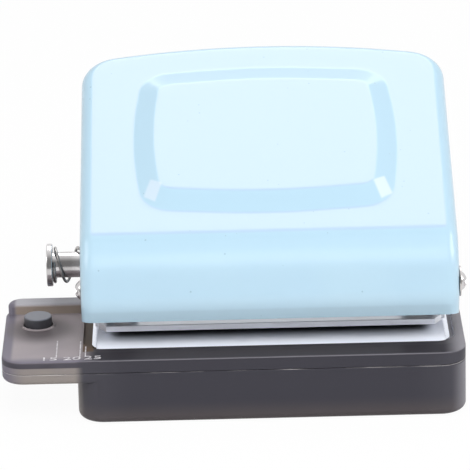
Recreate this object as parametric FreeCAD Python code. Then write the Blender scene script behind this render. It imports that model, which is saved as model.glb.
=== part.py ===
"""Two-hole desk paper punch: a pressed steel lever on a steel frame, over a smoked plastic chip tray.

Millimetres. X runs along the paper edge, -Y faces the user, +Z is up, and Z = 0 is the desk.
The origin is on the desk, under the middle of the base in X. Each node is written to parts/NODE.step.
"""

import FreeCAD
import Part
import math
import os

V = FreeCAD.Vector
X_AXIS = V(1, 0, 0)
Y_AXIS = V(0, 1, 0)
Z_AXIS = V(0, 0, 1)

# Chip tray and base cover (two mouldings that meet at a parting line)
BASE_HALF_W = 52.0
BASE_FRONT_Y = -43.0
BASE_REAR_Y = 42.0
BASE_CORNER_R = 7.0
TRAY_BOTTOM_Z = 0.0
TRAY_TOP_Z = 14.5
TRAY_WALL = 2.0
TRAY_FLOOR = 2.3
TRAY_EDGE_R = 2.0
PARTING_R = 0.2
COVER_BOTTOM_Z = 14.6
COVER_TOP_Z = 18.2
RIM_TOP_Z = 18.5
RIM_RUN = 5.4
RIM_RUN_END = 1.4
RIM_EDGE_R = 0.4
TONGUE_DEPTH = 1.5
TONGUE_WALL = 1.2
TONGUE_GAP = 0.3

# Wing at the left end, which carries the tray button and the paper fence
WING_LEFT_X = -72.1
WING_JOIN_X = -44.0
WING_REAR_Y = -1.6
WING_FLANGE_Z = 11.5
WING_FRONT_R = 6.0
WING_REAR_R = 5.0
WING_WALL = 1.8
WING_FLOOR = 1.5
WING_EDGE_R = 0.8
FLANGE_EDGE_R = 1.4
FENCE_LEFT_X = -71.4
FENCE_FRONT_Y = -7.2
FENCE_TOP_Z = 21.35
FENCE_RIGHT_X = -51.0
FENCE_EDGE_R = 0.9
FENCE_FRONT_R = 1.2
FENCE_REAR_R = 4.0

# Opening in the cover for the die plate
WELL_LEFT_X = -50.4
WELL_RIGHT_X = 49.4
WELL_FRONT_Y = -35.0
WELL_REAR_Y = 34.2
WELL_FRONT_R = 5.2
WELL_REAR_R = 2.5
LEDGE_HALF_W = 45.0
LEDGE_FRONT_Y = -33.0
LEDGE_REAR_Y = 31.0

# Steel plates
PLATE_HALF_W = 48.0
DIE_BOTTOM_Z = 16.8
DIE_TOP_Z = 18.4
DIE_FRONT_Y = -34.8
DIE_REAR_Y = 34.0
DIE_FRONT_R = 4.0
DIE_REAR_R = 2.0
SLOT_TOP_Z = 20.6
WEB_TOP_Z = 22.3
WEB_FRONT_Y = -28.05
WEB_REAR_Y = 16.0
WEB_CHAMFER_X = 2.9
WEB_CHAMFER_Y = 5.1
STOP_FRONT_Y = -7.0
STOP_HALF_W = 46.0
SHEET = 1.6

# Punches: two holes 80 mm apart, 12 mm in from the paper edge
PUNCH_X = 40.0
PUNCH_Y = STOP_FRONT_Y - 12.0
PUNCH_R = 3.0
DIE_HOLE_R = 3.06
GUIDE_BORE_R = 3.05
GUIDE_BARREL_R = 4.0
GUIDE_COLLAR_R = 4.7
GUIDE_TOP_Z = 25.3
PUNCH_TIP_Z = 20.9
PUNCH_TOP_Z = 41.5
PUNCH_HEAD_R = 4.5
PUNCH_HEAD_H = 2.0
PUNCH_SPRING_R = 3.9
PUNCH_WIRE_R = 0.4
PUNCH_SPRING_TURNS = 6.5

# Lever pivot
PIVOT_Y = -31.0
PIVOT_Z = 34.0
SHAFT_R = 2.25
SHAFT_HEAD_R = 2.65
SHAFT_HEAD_H = 1.6
HEAD_GAP = 0.08
SLOT_W = 1.2
SLOT_DEPTH = 1.0
SLOT_OFFSET = 0.4
SLOT_TILT_DEG = 20.0
RUNNING_FIT = 0.05
EAR_OUTER_X = 47.2
EAR_BOSS_R = 4.5
EAR_FOOT_FRONT_Y = -23.6
EAR_FOOT_REAR_Y = 4.0
EAR_SHELF_Z = 32.7
EAR_RELIEF = 1.0
EAR_RELIEF_IN = 0.8
PRESS_DEG = 22.0

# Lever shell, laid out in its own slope: t runs back along the top face, n stands square to it
SHELL_HALF_W = 50.5
SHELL_SHEET = 1.0
SLOPE_DEG = 22.3
CREASE_Y = -30.0
CREASE_Z = 48.56
SHELL_LENGTH = 90.0
REAR_SIDE_T = 75.2
REAR_APEX_T = 84.5
REAR_BOW_R = 226.0
REAR_CORNER_R = 10.8
REAR_DEPTH = 9.0
SHELL_EDGE_R = 3.5
CREASE_R = 5.0
BROW_RUN = 8.0
BROW_DEG = 47.0
BROW_R = 14.0
NOSE_RUN = 11.2
NOSE_DEG = 76.0
NOSE_R = 9.0
LIP_Y = -36.6
LIP_Z = 26.6
SKIRT_LOW_Y = -31.0
SKIRT_LOW_Z = 25.4
SKIRT_TURN_Y = -8.0
SKIRT_TURN_Z = 28.6
SKIRT_CLEARANCE = 12.0

# Raised panel pressed into the top face
PANEL_MID_T = 38.75
PANEL_CORNER_X = 34.0
PANEL_CORNER_T = 28.8
PANEL_SIDE_APEX = 37.4
PANEL_END_APEX = 31.6
PANEL_CORNER_R = 9.5
PANEL_SIDE_R = 140.0
PANEL_END_R = 180.0
PANEL_BEVEL = 6.0
PANEL_RISE = 1.4
PANEL_SINK = 0.6

# Cross bars inside the lever
PRESS_BAR_R = 3.0
PRESS_BAR_GAP = 0.3
STOP_ROD_R = 1.5
STOP_ROD_Y = -34.4
STOP_ROD_Z = 28.3

# Lock pin through the left skirt
LOCK_Y = -14.0
LOCK_Z = 35.14
LOCK_HEAD_R = 5.8
LOCK_HEAD_T = 1.65
LOCK_HEAD_X = -60.05
LOCK_SHAFT_R = 3.5
LOCK_TIP_R = 2.0
LOCK_HOLE_R = 2.2
LOCK_SHAFT_END_X = -49.0
LOCK_TIP_END_X = -47.5
LOCK_FLANGE_R = 5.05
LOCK_FLANGE_T = 0.2
LOCK_BARREL_R = 4.5
LOCK_RING_R = 4.3
LOCK_RING_T = 0.35
LOCK_GROOVE_R = 3.0
LOCK_SPRING_R = 4.6
LOCK_WIRE_R = 0.4
LOCK_SPRING_PITCH = 6.45
LOCK_END_TURN_DEG = 300.0

# Pivot hardware
SPACER_R = 3.3
SPACER_GAP = 0.05
WASHER_R = 4.1
WASHER_T = 0.5

# Tray button on the wing
BUTTON_X = -63.0
BUTTON_Y = -15.0
BUTTON_R = 3.8
BUTTON_TOP_Z = 21.0
BUTTON_BOTTOM_Z = 17.9
BUTTON_WALL = 0.9
STEM_R = 1.6
STEM_END_Z = 14.6
CUP_R = 4.05
CUP_WALL = 1.2
CUP_FLOOR_Z = 16.4
CUP_FLOOR_T = 0.8
COLLAR_R = 4.75
COLLAR_H = 0.25
COLLAR_EDGE_R = 0.18
BUTTON_SPRING_R = 2.5
BUTTON_WIRE_R = 0.25
BUTTON_SPRING_TURNS = 3.5

# Rear hinge between tray and cover
HINGE_Y = 45.6
HINGE_Z = 14.5
HINGE_X = 30.0
KNUCKLE_R = 3.2
KNUCKLE_HALF_W = 5.0
KNUCKLE_OUTER_W = 4.0
KNUCKLE_GAP = 0.3
HINGE_PIN_R = 1.25

# Feet, rivets and screws
FOOT_R = 4.0
FOOT_H = 1.0
FOOT_X = 42.0
FOOT_FRONT_Y = -33.0
FOOT_REAR_Y = 32.0
RIVET_R = 2.0
RIVET_HEAD_R = 3.2
RIVET_HEAD_H = 1.2
RIVET_Y = 6.0
RIVET_XS = (-36.0, -12.0, 12.0, 36.0)
SCREW_X = 38.0
SCREW_Y = 27.0
SCREW_R = 1.5
SCREW_HEAD_R = 2.8
SCREW_HEAD_H = 1.6
SCREW_BOSS_R = 3.6
SCREW_BOSS_Z = 11.0
LUG_X = 30.0
LUG_HALF_W = 5.0
LUG_DROP = 1.8


def box(x0, x1, y0, y1, z0, z1):
    """Axis-aligned block between two corners."""
    return Part.makeBox(x1 - x0, y1 - y0, z1 - z0, V(x0, y0, z0))


def rod_x(radius, x0, x1, y, z):
    """Cylinder along X."""
    return Part.makeCylinder(radius, x1 - x0, V(x0, y, z), X_AXIS)


def rod_z(radius, z0, z1, x, y):
    """Cylinder along Z."""
    return Part.makeCylinder(radius, z1 - z0, V(x, y, z0), Z_AXIS)


def fuse_all(shapes):
    """One clean solid from overlapping shapes."""
    whole = shapes[0]
    for shape in shapes[1:]:
        whole = whole.fuse(shape)
    return whole.removeSplitter()


def group(shapes):
    """Several separate solids in one node."""
    return Part.makeCompound(shapes)


def rounded_wire(x0, x1, y0, y1, z, radii):
    """Rectangle in plan with four corner radii, 0 for a square corner, from the front left round."""
    bend = 1 - math.sqrt(0.5)
    corners = [(x0, y0, 1, 1), (x1, y0, -1, 1), (x1, y1, -1, -1), (x0, y1, 1, -1)]
    arcs = []
    for (x, y, sx, sy), r in zip(corners, radii):
        along_y = V(x, y + sy * r, z)
        along_x = V(x + sx * r, y, z)
        middle = V(x + sx * r * bend, y + sy * r * bend, z)
        first, last = (along_y, along_x) if sx == sy else (along_x, along_y)
        arcs.append((first, middle, last, r))
    edges = []
    for before, (first, middle, last, r) in zip(arcs[-1:] + arcs[:-1], arcs):
        edges.append(Part.makeLine(before[2], first))
        if r > 0:
            edges.append(Part.Arc(first, middle, last).toShape())
    return Part.Wire(edges)


def rounded_block(x0, x1, y0, y1, z0, z1, radii):
    """Upright block with rounded corners in plan."""
    return Part.Face(rounded_wire(x0, x1, y0, y1, z0, radii)).extrude(V(0, 0, z1 - z0))


def soft_edges(block, z, radius):
    """Block with the edges that lie at one height rounded."""
    return block.makeFillet(radius, [e for e in block.Edges
                                     if abs(e.BoundBox.ZMin - z) < 0.01 and abs(e.BoundBox.ZMax - z) < 0.01])


def side_profile(points, x0, x1):
    """Flat polygon in the Y-Z plane, extruded from x0 to x1."""
    ring = [V(x0, y, z) for y, z in points]
    return Part.Face(Part.makePolygon(ring + ring[:1])).extrude(V(x1 - x0, 0, 0))


def coil(radius, wire_r, length, turns):
    """Open coil about +Z, from its lowest wire surface at 0 to its highest at length."""
    height = length - 2 * wire_r
    helix = Part.makeHelix(height / turns, height, radius)
    section = Part.Wire(Part.makeCircle(wire_r, V(radius, 0, 0), Y_AXIS))
    spring = Part.Wire(helix).makePipeShell([section], True, True)
    spring.translate(V(0, 0, wire_r))
    return spring


def turned_about_pivot(y, z, degrees):
    """Place of a lever point after the lever is pressed by this angle."""
    angle = math.radians(degrees)
    dy = y - PIVOT_Y
    dz = z - PIVOT_Z
    return (PIVOT_Y + dy * math.cos(angle) + dz * math.sin(angle),
            PIVOT_Z - dy * math.sin(angle) + dz * math.cos(angle))


def wing_radii(front, rear):
    """Corner radii of a wing: only its free, left-hand corners are round."""
    return (front, 0.0, 0.0, rear)


def hinge_arm(x0, x1, z0, z1):
    """Block that ties one hinge knuckle to the rear wall."""
    return box(x0, x1, BASE_REAR_Y - 1.0, HINGE_Y, z0, z1)


def chip_tray():
    """Lower moulding: deep tray with a shallow flange under the wing and two hinge knuckles."""
    outer = rounded_block(-BASE_HALF_W, BASE_HALF_W, BASE_FRONT_Y, BASE_REAR_Y,
                          TRAY_BOTTOM_Z, TRAY_TOP_Z, (BASE_CORNER_R,) * 4)
    outer = soft_edges(outer, TRAY_BOTTOM_Z, TRAY_EDGE_R)
    outer = soft_edges(outer, TRAY_TOP_Z, PARTING_R)
    flange = rounded_block(WING_LEFT_X, WING_JOIN_X, BASE_FRONT_Y, WING_REAR_Y,
                           WING_FLANGE_Z, TRAY_TOP_Z, wing_radii(WING_FRONT_R, WING_REAR_R))
    flange = soft_edges(flange, WING_FLANGE_Z, FLANGE_EDGE_R)
    flange = soft_edges(flange, TRAY_TOP_Z, PARTING_R)
    knuckles = []
    for side in (-1, 1):
        x0 = side * HINGE_X - KNUCKLE_HALF_W
        x1 = side * HINGE_X + KNUCKLE_HALF_W
        knuckles.append(rod_x(KNUCKLE_R, x0, x1, HINGE_Y, HINGE_Z))
        knuckles.append(hinge_arm(x0, x1, HINGE_Z - KNUCKLE_R, TRAY_TOP_Z - 0.3))
    shell = fuse_all([outer, flange] + knuckles)
    inner = BASE_CORNER_R - TRAY_WALL
    shell = shell.cut(rounded_block(-BASE_HALF_W + TRAY_WALL, BASE_HALF_W - TRAY_WALL,
                                    BASE_FRONT_Y + TRAY_WALL, BASE_REAR_Y - TRAY_WALL,
                                    TRAY_BOTTOM_Z + TRAY_FLOOR, TRAY_TOP_Z + 1.0, (inner,) * 4))
    shell = shell.cut(rounded_block(WING_LEFT_X + WING_WALL, -BASE_HALF_W - WING_WALL,
                                    BASE_FRONT_Y + WING_WALL, WING_REAR_Y - WING_WALL,
                                    WING_FLANGE_Z + WING_FLOOR, TRAY_TOP_Z + 1.0,
                                    wing_radii(WING_FRONT_R - WING_WALL, WING_REAR_R - WING_WALL)))
    for side in (-1, 1):
        x0 = side * HINGE_X - KNUCKLE_HALF_W - 1.0
        x1 = side * HINGE_X + KNUCKLE_HALF_W + 1.0
        shell = shell.cut(rod_x(HINGE_PIN_R, x0, x1, HINGE_Y, HINGE_Z))
    for x, y in foot_places():
        shell = shell.cut(rod_z(FOOT_R + 0.1, 0.0, FOOT_H, x, y))
    return shell.removeSplitter()


def foot_places():
    """Centres of the four feet in plan."""
    return [(side * FOOT_X, y) for side in (-1, 1) for y in (FOOT_FRONT_Y, FOOT_REAR_Y)]


def feet():
    """Four rubber pads set into the tray's underside."""
    return group([rod_z(FOOT_R, 0.0, FOOT_H, x, y) for x, y in foot_places()])


def hinge_pins():
    """Steel pins of the two rear hinges."""
    half = KNUCKLE_HALF_W + KNUCKLE_GAP + KNUCKLE_OUTER_W
    return group([rod_x(HINGE_PIN_R, side * HINGE_X - half, side * HINGE_X + half, HINGE_Y, HINGE_Z)
                  for side in (-1, 1)])


def cover_rim():
    """Sloping frame that rises from the outer edge of the cover to the die plate's well."""
    low = rounded_wire(-BASE_HALF_W, BASE_HALF_W, BASE_FRONT_Y, BASE_REAR_Y,
                       COVER_TOP_Z, (BASE_CORNER_R,) * 4)
    corner = BASE_CORNER_R - RIM_RUN_END
    high = rounded_wire(-BASE_HALF_W + RIM_RUN_END, BASE_HALF_W - RIM_RUN_END,
                        BASE_FRONT_Y + RIM_RUN, BASE_REAR_Y - RIM_RUN, RIM_TOP_Z, (corner,) * 4)
    return Part.makeLoft([low, high], True, True)


def cover_knuckles():
    """Two hinge knuckles on the cover at each side of each tray knuckle."""
    solids = []
    for side in (-1, 1):
        for end in (-1, 1):
            near = side * HINGE_X + end * (KNUCKLE_HALF_W + KNUCKLE_GAP)
            far = near + end * KNUCKLE_OUTER_W
            x0, x1 = min(near, far), max(near, far)
            solids.append(rod_x(KNUCKLE_R, x0, x1, HINGE_Y, HINGE_Z))
            solids.append(hinge_arm(x0, x1, COVER_BOTTOM_Z + 0.3, HINGE_Z + KNUCKLE_R))
    return solids


def tongue():
    """Thin wall below the cover that drops inside the tray."""
    reach = TRAY_WALL + TONGUE_GAP
    corner = BASE_CORNER_R - reach
    outer = rounded_block(-BASE_HALF_W + reach, BASE_HALF_W - reach,
                          BASE_FRONT_Y + reach, BASE_REAR_Y - reach,
                          COVER_BOTTOM_Z - TONGUE_DEPTH, COVER_BOTTOM_Z + 0.5, (corner,) * 4)
    inner_reach = reach + TONGUE_WALL
    inner_corner = BASE_CORNER_R - inner_reach
    inner = rounded_block(-BASE_HALF_W + inner_reach, BASE_HALF_W - inner_reach,
                          BASE_FRONT_Y + inner_reach, BASE_REAR_Y - inner_reach,
                          COVER_BOTTOM_Z - TONGUE_DEPTH - 1.0, COVER_BOTTOM_Z, (inner_corner,) * 4)
    return outer.cut(inner)


def base_cover():
    """Upper moulding: rim round the die plate, with the wing, its fence and the button cup."""
    body = rounded_block(-BASE_HALF_W, BASE_HALF_W, BASE_FRONT_Y, BASE_REAR_Y,
                         COVER_BOTTOM_Z, COVER_TOP_Z, (BASE_CORNER_R,) * 4)
    body = fuse_all([soft_edges(body, COVER_BOTTOM_Z, PARTING_R), cover_rim()])
    body = soft_edges(body, COVER_TOP_Z, RIM_EDGE_R)
    wing = rounded_block(WING_LEFT_X, WING_JOIN_X, BASE_FRONT_Y, WING_REAR_Y,
                         COVER_BOTTOM_Z, COVER_TOP_Z, wing_radii(WING_FRONT_R, WING_REAR_R))
    wing = soft_edges(wing, COVER_TOP_Z, WING_EDGE_R)
    wing = soft_edges(wing, COVER_BOTTOM_Z, PARTING_R)
    wing = wing.cut(rounded_block(WING_LEFT_X + WING_WALL, -BASE_HALF_W - WING_WALL,
                                  BASE_FRONT_Y + WING_WALL, WING_REAR_Y - WING_WALL,
                                  COVER_BOTTOM_Z - 1.0, COVER_TOP_Z - WING_WALL,
                                  wing_radii(WING_FRONT_R - WING_WALL, WING_REAR_R - WING_WALL)))
    fence = rounded_block(FENCE_LEFT_X, FENCE_RIGHT_X, FENCE_FRONT_Y, WING_REAR_Y - 0.2,
                          COVER_TOP_Z - 1.0, FENCE_TOP_Z, wing_radii(FENCE_FRONT_R, FENCE_REAR_R))
    fence = soft_edges(fence, FENCE_TOP_Z, FENCE_EDGE_R)
    cup = rod_z(CUP_R + CUP_WALL, CUP_FLOOR_Z - CUP_FLOOR_T, COVER_TOP_Z, BUTTON_X, BUTTON_Y)
    collar = rod_z(COLLAR_R, COVER_TOP_Z - 1.0, COVER_TOP_Z + COLLAR_H, BUTTON_X, BUTTON_Y)
    collar = soft_edges(collar, COVER_TOP_Z + COLLAR_H, COLLAR_EDGE_R)
    bosses = [rod_z(SCREW_BOSS_R, SCREW_BOSS_Z, DIE_BOTTOM_Z, side * SCREW_X, SCREW_Y) for side in (-1, 1)]
    bosses += [box(side * SCREW_X - SCREW_BOSS_R, side * SCREW_X + SCREW_BOSS_R, SCREW_Y,
                   LEDGE_REAR_Y + 1.0, COVER_BOTTOM_Z, DIE_BOTTOM_Z) for side in (-1, 1)]
    solid = fuse_all([body, wing, fence, cup, collar, tongue()] + cover_knuckles())
    solid = solid.cut(rounded_block(WELL_LEFT_X, WELL_RIGHT_X, WELL_FRONT_Y, WELL_REAR_Y,
                                    DIE_BOTTOM_Z, RIM_TOP_Z + 1.0,
                                    (WELL_FRONT_R, WELL_FRONT_R, WELL_REAR_R, WELL_REAR_R)))
    solid = solid.cut(box(-LEDGE_HALF_W, LEDGE_HALF_W, LEDGE_FRONT_Y, LEDGE_REAR_Y,
                          COVER_BOTTOM_Z - TONGUE_DEPTH - 1.0, RIM_TOP_Z))
    solid = fuse_all([solid] + bosses)
    for side in (-1, 1):
        solid = solid.cut(rod_z(SCREW_R, SCREW_BOSS_Z + 1.5, DIE_BOTTOM_Z + 1.0, side * SCREW_X, SCREW_Y))
        half = KNUCKLE_HALF_W + KNUCKLE_GAP + KNUCKLE_OUTER_W + 1.0
        solid = solid.cut(rod_x(HINGE_PIN_R + RUNNING_FIT, side * HINGE_X - half,
                                side * HINGE_X + half, HINGE_Y, HINGE_Z))
    solid = solid.cut(rod_z(CUP_R, CUP_FLOOR_Z, COVER_TOP_Z + 1.0, BUTTON_X, BUTTON_Y))
    solid = solid.cut(rod_z(STEM_R + RUNNING_FIT, CUP_FLOOR_Z - 2.0, CUP_FLOOR_Z + 1.0, BUTTON_X, BUTTON_Y))
    return solid.removeSplitter()


def through_plates(plate):
    """Cut the rivet holes in a plate."""
    for x in RIVET_XS:
        plate = plate.cut(rod_z(RIVET_R, DIE_BOTTOM_Z - 1.0, WEB_TOP_Z + 1.0, x, RIVET_Y))
    return plate


def die_plate():
    """Lower steel plate with the two die holes and two front lugs that drop into the cover."""
    plate = rounded_block(-PLATE_HALF_W, PLATE_HALF_W, DIE_FRONT_Y, DIE_REAR_Y,
                          DIE_BOTTOM_Z, DIE_TOP_Z, (DIE_FRONT_R, DIE_FRONT_R, DIE_REAR_R, DIE_REAR_R))
    lugs = [box(side * LUG_X - LUG_HALF_W, side * LUG_X + LUG_HALF_W, LEDGE_FRONT_Y + 0.1,
                LEDGE_FRONT_Y + 1.1, DIE_BOTTOM_Z - LUG_DROP, DIE_BOTTOM_Z + 0.5) for side in (-1, 1)]
    plate = fuse_all([plate] + lugs)
    for side in (-1, 1):
        plate = plate.cut(rod_z(DIE_HOLE_R, DIE_BOTTOM_Z - 1.0, DIE_TOP_Z + 1.0, side * PUNCH_X, PUNCH_Y))
        plate = plate.cut(rod_z(SCREW_R, DIE_BOTTOM_Z - 1.0, DIE_TOP_Z + 1.0, side * SCREW_X, SCREW_Y))
    return through_plates(plate)


def depth_stop():
    """Spacer plate between die plate and guide frame: its front edge stops the paper."""
    plate = box(-STOP_HALF_W, STOP_HALF_W, STOP_FRONT_Y, WEB_REAR_Y, DIE_TOP_Z, SLOT_TOP_Z)
    return through_plates(plate)


def tangent_point(y, z, side):
    """Point where a line from (y, z) touches the ear's boss circle; side picks one of the two."""
    dy = PIVOT_Y - y
    dz = PIVOT_Z - z
    reach = math.hypot(dy, dz)
    angle = math.atan2(dz, dy) + side * math.asin(EAR_BOSS_R / reach)
    run = math.sqrt(reach ** 2 - EAR_BOSS_R ** 2)
    return y + run * math.cos(angle), z + run * math.sin(angle)


def ear(side):
    """Upturned ear of the guide frame: leans forward to the lever's pivot."""
    x0 = EAR_OUTER_X - SHEET if side > 0 else -EAR_OUTER_X
    x1 = x0 + SHEET
    front = tangent_point(EAR_FOOT_FRONT_Y, WEB_TOP_Z, 1)
    shelf_y = LOCK_Y - 4.0
    top = tangent_point(shelf_y, EAR_SHELF_Z, -1)
    outline = [(EAR_FOOT_FRONT_Y, SLOT_TOP_Z), (EAR_FOOT_FRONT_Y, WEB_TOP_Z), front, (PIVOT_Y, PIVOT_Z), top,
               (shelf_y, EAR_SHELF_Z), (LOCK_Y + 7.0, EAR_SHELF_Z), (EAR_FOOT_REAR_Y, WEB_TOP_Z + 3.0),
               (EAR_FOOT_REAR_Y, SLOT_TOP_Z)]
    plate = side_profile(outline, x0, x1).fuse(rod_x(EAR_BOSS_R, x0, x1, PIVOT_Y, PIVOT_Z))
    plate = plate.cut(rod_x(SHAFT_R + RUNNING_FIT, x0 - 1.0, x1 + 1.0, PIVOT_Y, PIVOT_Z))
    if side < 0:
        y, z = turned_about_pivot(LOCK_Y, LOCK_Z, PRESS_DEG)
        plate = plate.cut(rod_x(LOCK_HOLE_R, x0 - 1.0, x1 + 1.0, y, z))
    return plate


def guide_frame():
    """Upper steel plate that guides the punches, with an ear turned up at each end."""
    wide = EAR_OUTER_X
    relief_x = wide - SHEET - EAR_RELIEF_IN
    relief_y = EAR_FOOT_FRONT_Y - EAR_RELIEF
    cut_x = wide - WEB_CHAMFER_X * (WEB_FRONT_Y + WEB_CHAMFER_Y - relief_y) / WEB_CHAMFER_Y
    right = [(wide - WEB_CHAMFER_X, WEB_FRONT_Y), (cut_x, relief_y), (relief_x, relief_y),
             (relief_x, EAR_FOOT_FRONT_Y), (wide, EAR_FOOT_FRONT_Y), (wide, WEB_REAR_Y)]
    outline = right + [(-x, y) for x, y in reversed(right)]
    ring = [V(x, y, SLOT_TOP_Z) for x, y in outline]
    web = Part.Face(Part.makePolygon(ring + ring[:1])).extrude(V(0, 0, WEB_TOP_Z - SLOT_TOP_Z))
    frame = fuse_all([web, ear(-1), ear(1)])
    for side in (-1, 1):
        frame = frame.cut(rod_z(GUIDE_BARREL_R, SLOT_TOP_Z - 1.0, WEB_TOP_Z + 1.0, side * PUNCH_X, PUNCH_Y))
    return through_plates(frame)


def frame_rivets():
    """Four rivets that clamp die plate, depth stop and guide frame together."""
    rivets = []
    for x in RIVET_XS:
        shank = rod_z(RIVET_R, DIE_BOTTOM_Z - 0.5, WEB_TOP_Z + 0.5, x, RIVET_Y)
        top = rod_z(RIVET_HEAD_R, WEB_TOP_Z, WEB_TOP_Z + RIVET_HEAD_H, x, RIVET_Y)
        top = top.makeFillet(RIVET_HEAD_H * 0.7, [top.Edges[0]])
        foot = rod_z(RIVET_HEAD_R, DIE_BOTTOM_Z - RIVET_HEAD_H, DIE_BOTTOM_Z, x, RIVET_Y)
        rivets.append(fuse_all([shank, top, foot]))
    return group(rivets)


def plate_screws():
    """Two screws that hold the die plate to bosses of the cover."""
    screws = []
    for side in (-1, 1):
        x = side * SCREW_X
        head = rod_z(SCREW_HEAD_R, DIE_TOP_Z, DIE_TOP_Z + SCREW_HEAD_H, x, SCREW_Y)
        head = head.makeFillet(SCREW_HEAD_H * 0.5, [head.Edges[0]])
        shank = rod_z(SCREW_R, SCREW_BOSS_Z + 1.5, DIE_TOP_Z + 0.5, x, SCREW_Y)
        slot = box(x - 2.0, x + 2.0, SCREW_Y - 0.3, SCREW_Y + 0.3, DIE_TOP_Z + SCREW_HEAD_H - 0.7,
                   DIE_TOP_Z + SCREW_HEAD_H + 1.0)
        cross = box(x - 0.3, x + 0.3, SCREW_Y - 2.0, SCREW_Y + 2.0, DIE_TOP_Z + SCREW_HEAD_H - 0.7,
                    DIE_TOP_Z + SCREW_HEAD_H + 1.0)
        screws.append(fuse_all([head, shank]).cut(slot).cut(cross))
    return group(screws)


def punch_guides():
    """Two flanged bushes pressed into the guide frame."""
    bushes = []
    for side in (-1, 1):
        x = side * PUNCH_X
        bush = fuse_all([rod_z(GUIDE_BARREL_R, SLOT_TOP_Z, WEB_TOP_Z + 0.5, x, PUNCH_Y),
                         rod_z(GUIDE_COLLAR_R, WEB_TOP_Z, GUIDE_TOP_Z, x, PUNCH_Y)])
        bushes.append(bush.cut(rod_z(GUIDE_BORE_R, SLOT_TOP_Z - 1.0, GUIDE_TOP_Z + 1.0, x, PUNCH_Y)))
    return group(bushes)


def punch(side):
    """Hardened punch: round head, plain shank, and a hollow V ground across its cutting end."""
    x = side * PUNCH_X
    shank = rod_z(PUNCH_R, PUNCH_TIP_Z, PUNCH_TOP_Z - 0.5, x, PUNCH_Y)
    head = rod_z(PUNCH_HEAD_R, PUNCH_TOP_Z - PUNCH_HEAD_H, PUNCH_TOP_Z, x, PUNCH_Y)
    head = head.makeChamfer(0.4, [head.Edges[0]])
    notch = Part.makeCylinder(PUNCH_R * 1.6, 4 * PUNCH_R,
                              V(x - 2 * PUNCH_R, PUNCH_Y, PUNCH_TIP_Z - PUNCH_R * 1.35), X_AXIS)
    return fuse_all([shank, head]).cut(notch)


def punch_spring(side):
    """Return spring between the guide bush and the punch head."""
    length = PUNCH_TOP_Z - PUNCH_HEAD_H - GUIDE_TOP_Z
    spring = coil(PUNCH_SPRING_R, PUNCH_WIRE_R, length, PUNCH_SPRING_TURNS)
    spring.translate(V(side * PUNCH_X, PUNCH_Y, GUIDE_TOP_Z))
    return spring


def shaft_head(side, base):
    """Domed head at one end of the lever shaft, from base outwards."""
    ball_r = (SHAFT_HEAD_R ** 2 + SHAFT_HEAD_H ** 2) / (2 * SHAFT_HEAD_H)
    ball = Part.makeSphere(ball_r, V(side * (base + SHAFT_HEAD_H - ball_r), PIVOT_Y, PIVOT_Z))
    near = side * base
    far = side * (base + SHAFT_HEAD_H + 1.0)
    head = ball.common(rod_x(SHAFT_HEAD_R + 0.1, min(near, far), max(near, far), PIVOT_Y, PIVOT_Z))
    return head.cut(head_slot(side, base))


def head_slot(side, base):
    """Screwdriver slot across the head, turned a little about the shaft."""
    ends = sorted((side * (base + SHAFT_HEAD_H - SLOT_DEPTH), side * (base + SHAFT_HEAD_H + 1.0)))
    low = PIVOT_Z + SLOT_OFFSET - SLOT_W / 2
    slot = box(ends[0], ends[1], PIVOT_Y - 5.0, PIVOT_Y + 5.0, low, low + SLOT_W)
    slot.rotate(V(0, PIVOT_Y, PIVOT_Z), X_AXIS, SLOT_TILT_DEG)
    return slot


def pivot_shaft():
    """Lever shaft with slotted ends: round head at the left, riveted over a washer at the right."""
    left = SHELL_HALF_W + HEAD_GAP
    right = left + WASHER_T + RUNNING_FIT
    shank = rod_x(SHAFT_R, -left - 0.3, right + 0.3, PIVOT_Y, PIVOT_Z)
    return fuse_all([shank, shaft_head(-1, left), shaft_head(1, right)])


def ring_x(outer, inner, x0, x1, y, z):
    """Flat ring whose axis runs along X."""
    return rod_x(outer, x0, x1, y, z).cut(rod_x(inner, x0 - 1.0, x1 + 1.0, y, z))


def mirrored_rings(outer, inner, near, far):
    """The same ring on the pivot axis at both ends of the shaft."""
    return group([ring_x(outer, inner, near, far, PIVOT_Y, PIVOT_Z),
                  ring_x(outer, inner, -far, -near, PIVOT_Y, PIVOT_Z)])


def pivot_spacers():
    """Two nylon spacers that centre the lever between the ears."""
    return mirrored_rings(SPACER_R, SHAFT_R + RUNNING_FIT, EAR_OUTER_X + SPACER_GAP,
                          SHELL_HALF_W - SHELL_SHEET - SPACER_GAP)


def pivot_washer():
    """Steel washer between the right skirt and the shaft's riveted end."""
    near = SHELL_HALF_W + HEAD_GAP
    return ring_x(WASHER_R, SHAFT_R + RUNNING_FIT, near, near + WASHER_T, PIVOT_Y, PIVOT_Z)


def on_slope(t, n):
    """Y and Z of a point t back along the top face and n square to it."""
    angle = math.radians(SLOPE_DEG)
    return (CREASE_Y + t * math.cos(angle) - n * math.sin(angle),
            CREASE_Z + t * math.sin(angle) + n * math.cos(angle))


def meeting(a, b, c, d):
    """Point where the line through a and b meets the line through c and d, in a plane."""
    ux, uy = b[0] - a[0], b[1] - a[1]
    wx, wy = d[0] - c[0], d[1] - c[1]
    share = ((c[0] - a[0]) * wy - (c[1] - a[1]) * wx) / (ux * wy - uy * wx)
    return a[0] + ux * share, a[1] + uy * share


def moved_in(points, gap):
    """Open polyline moved to its right-hand side by gap, with its corners kept sharp."""
    lines = []
    for (ax, ay), (bx, by) in zip(points, points[1:]):
        run = math.hypot(bx - ax, by - ay)
        sx, sy = (by - ay) / run * gap, -(bx - ax) / run * gap
        lines.append(((ax + sx, ay + sy), (bx + sx, by + sy)))
    inner = [meeting(*one, *two) for one, two in zip(lines, lines[1:])]
    return [lines[0][0]] + inner + [lines[-1][1]]


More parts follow.
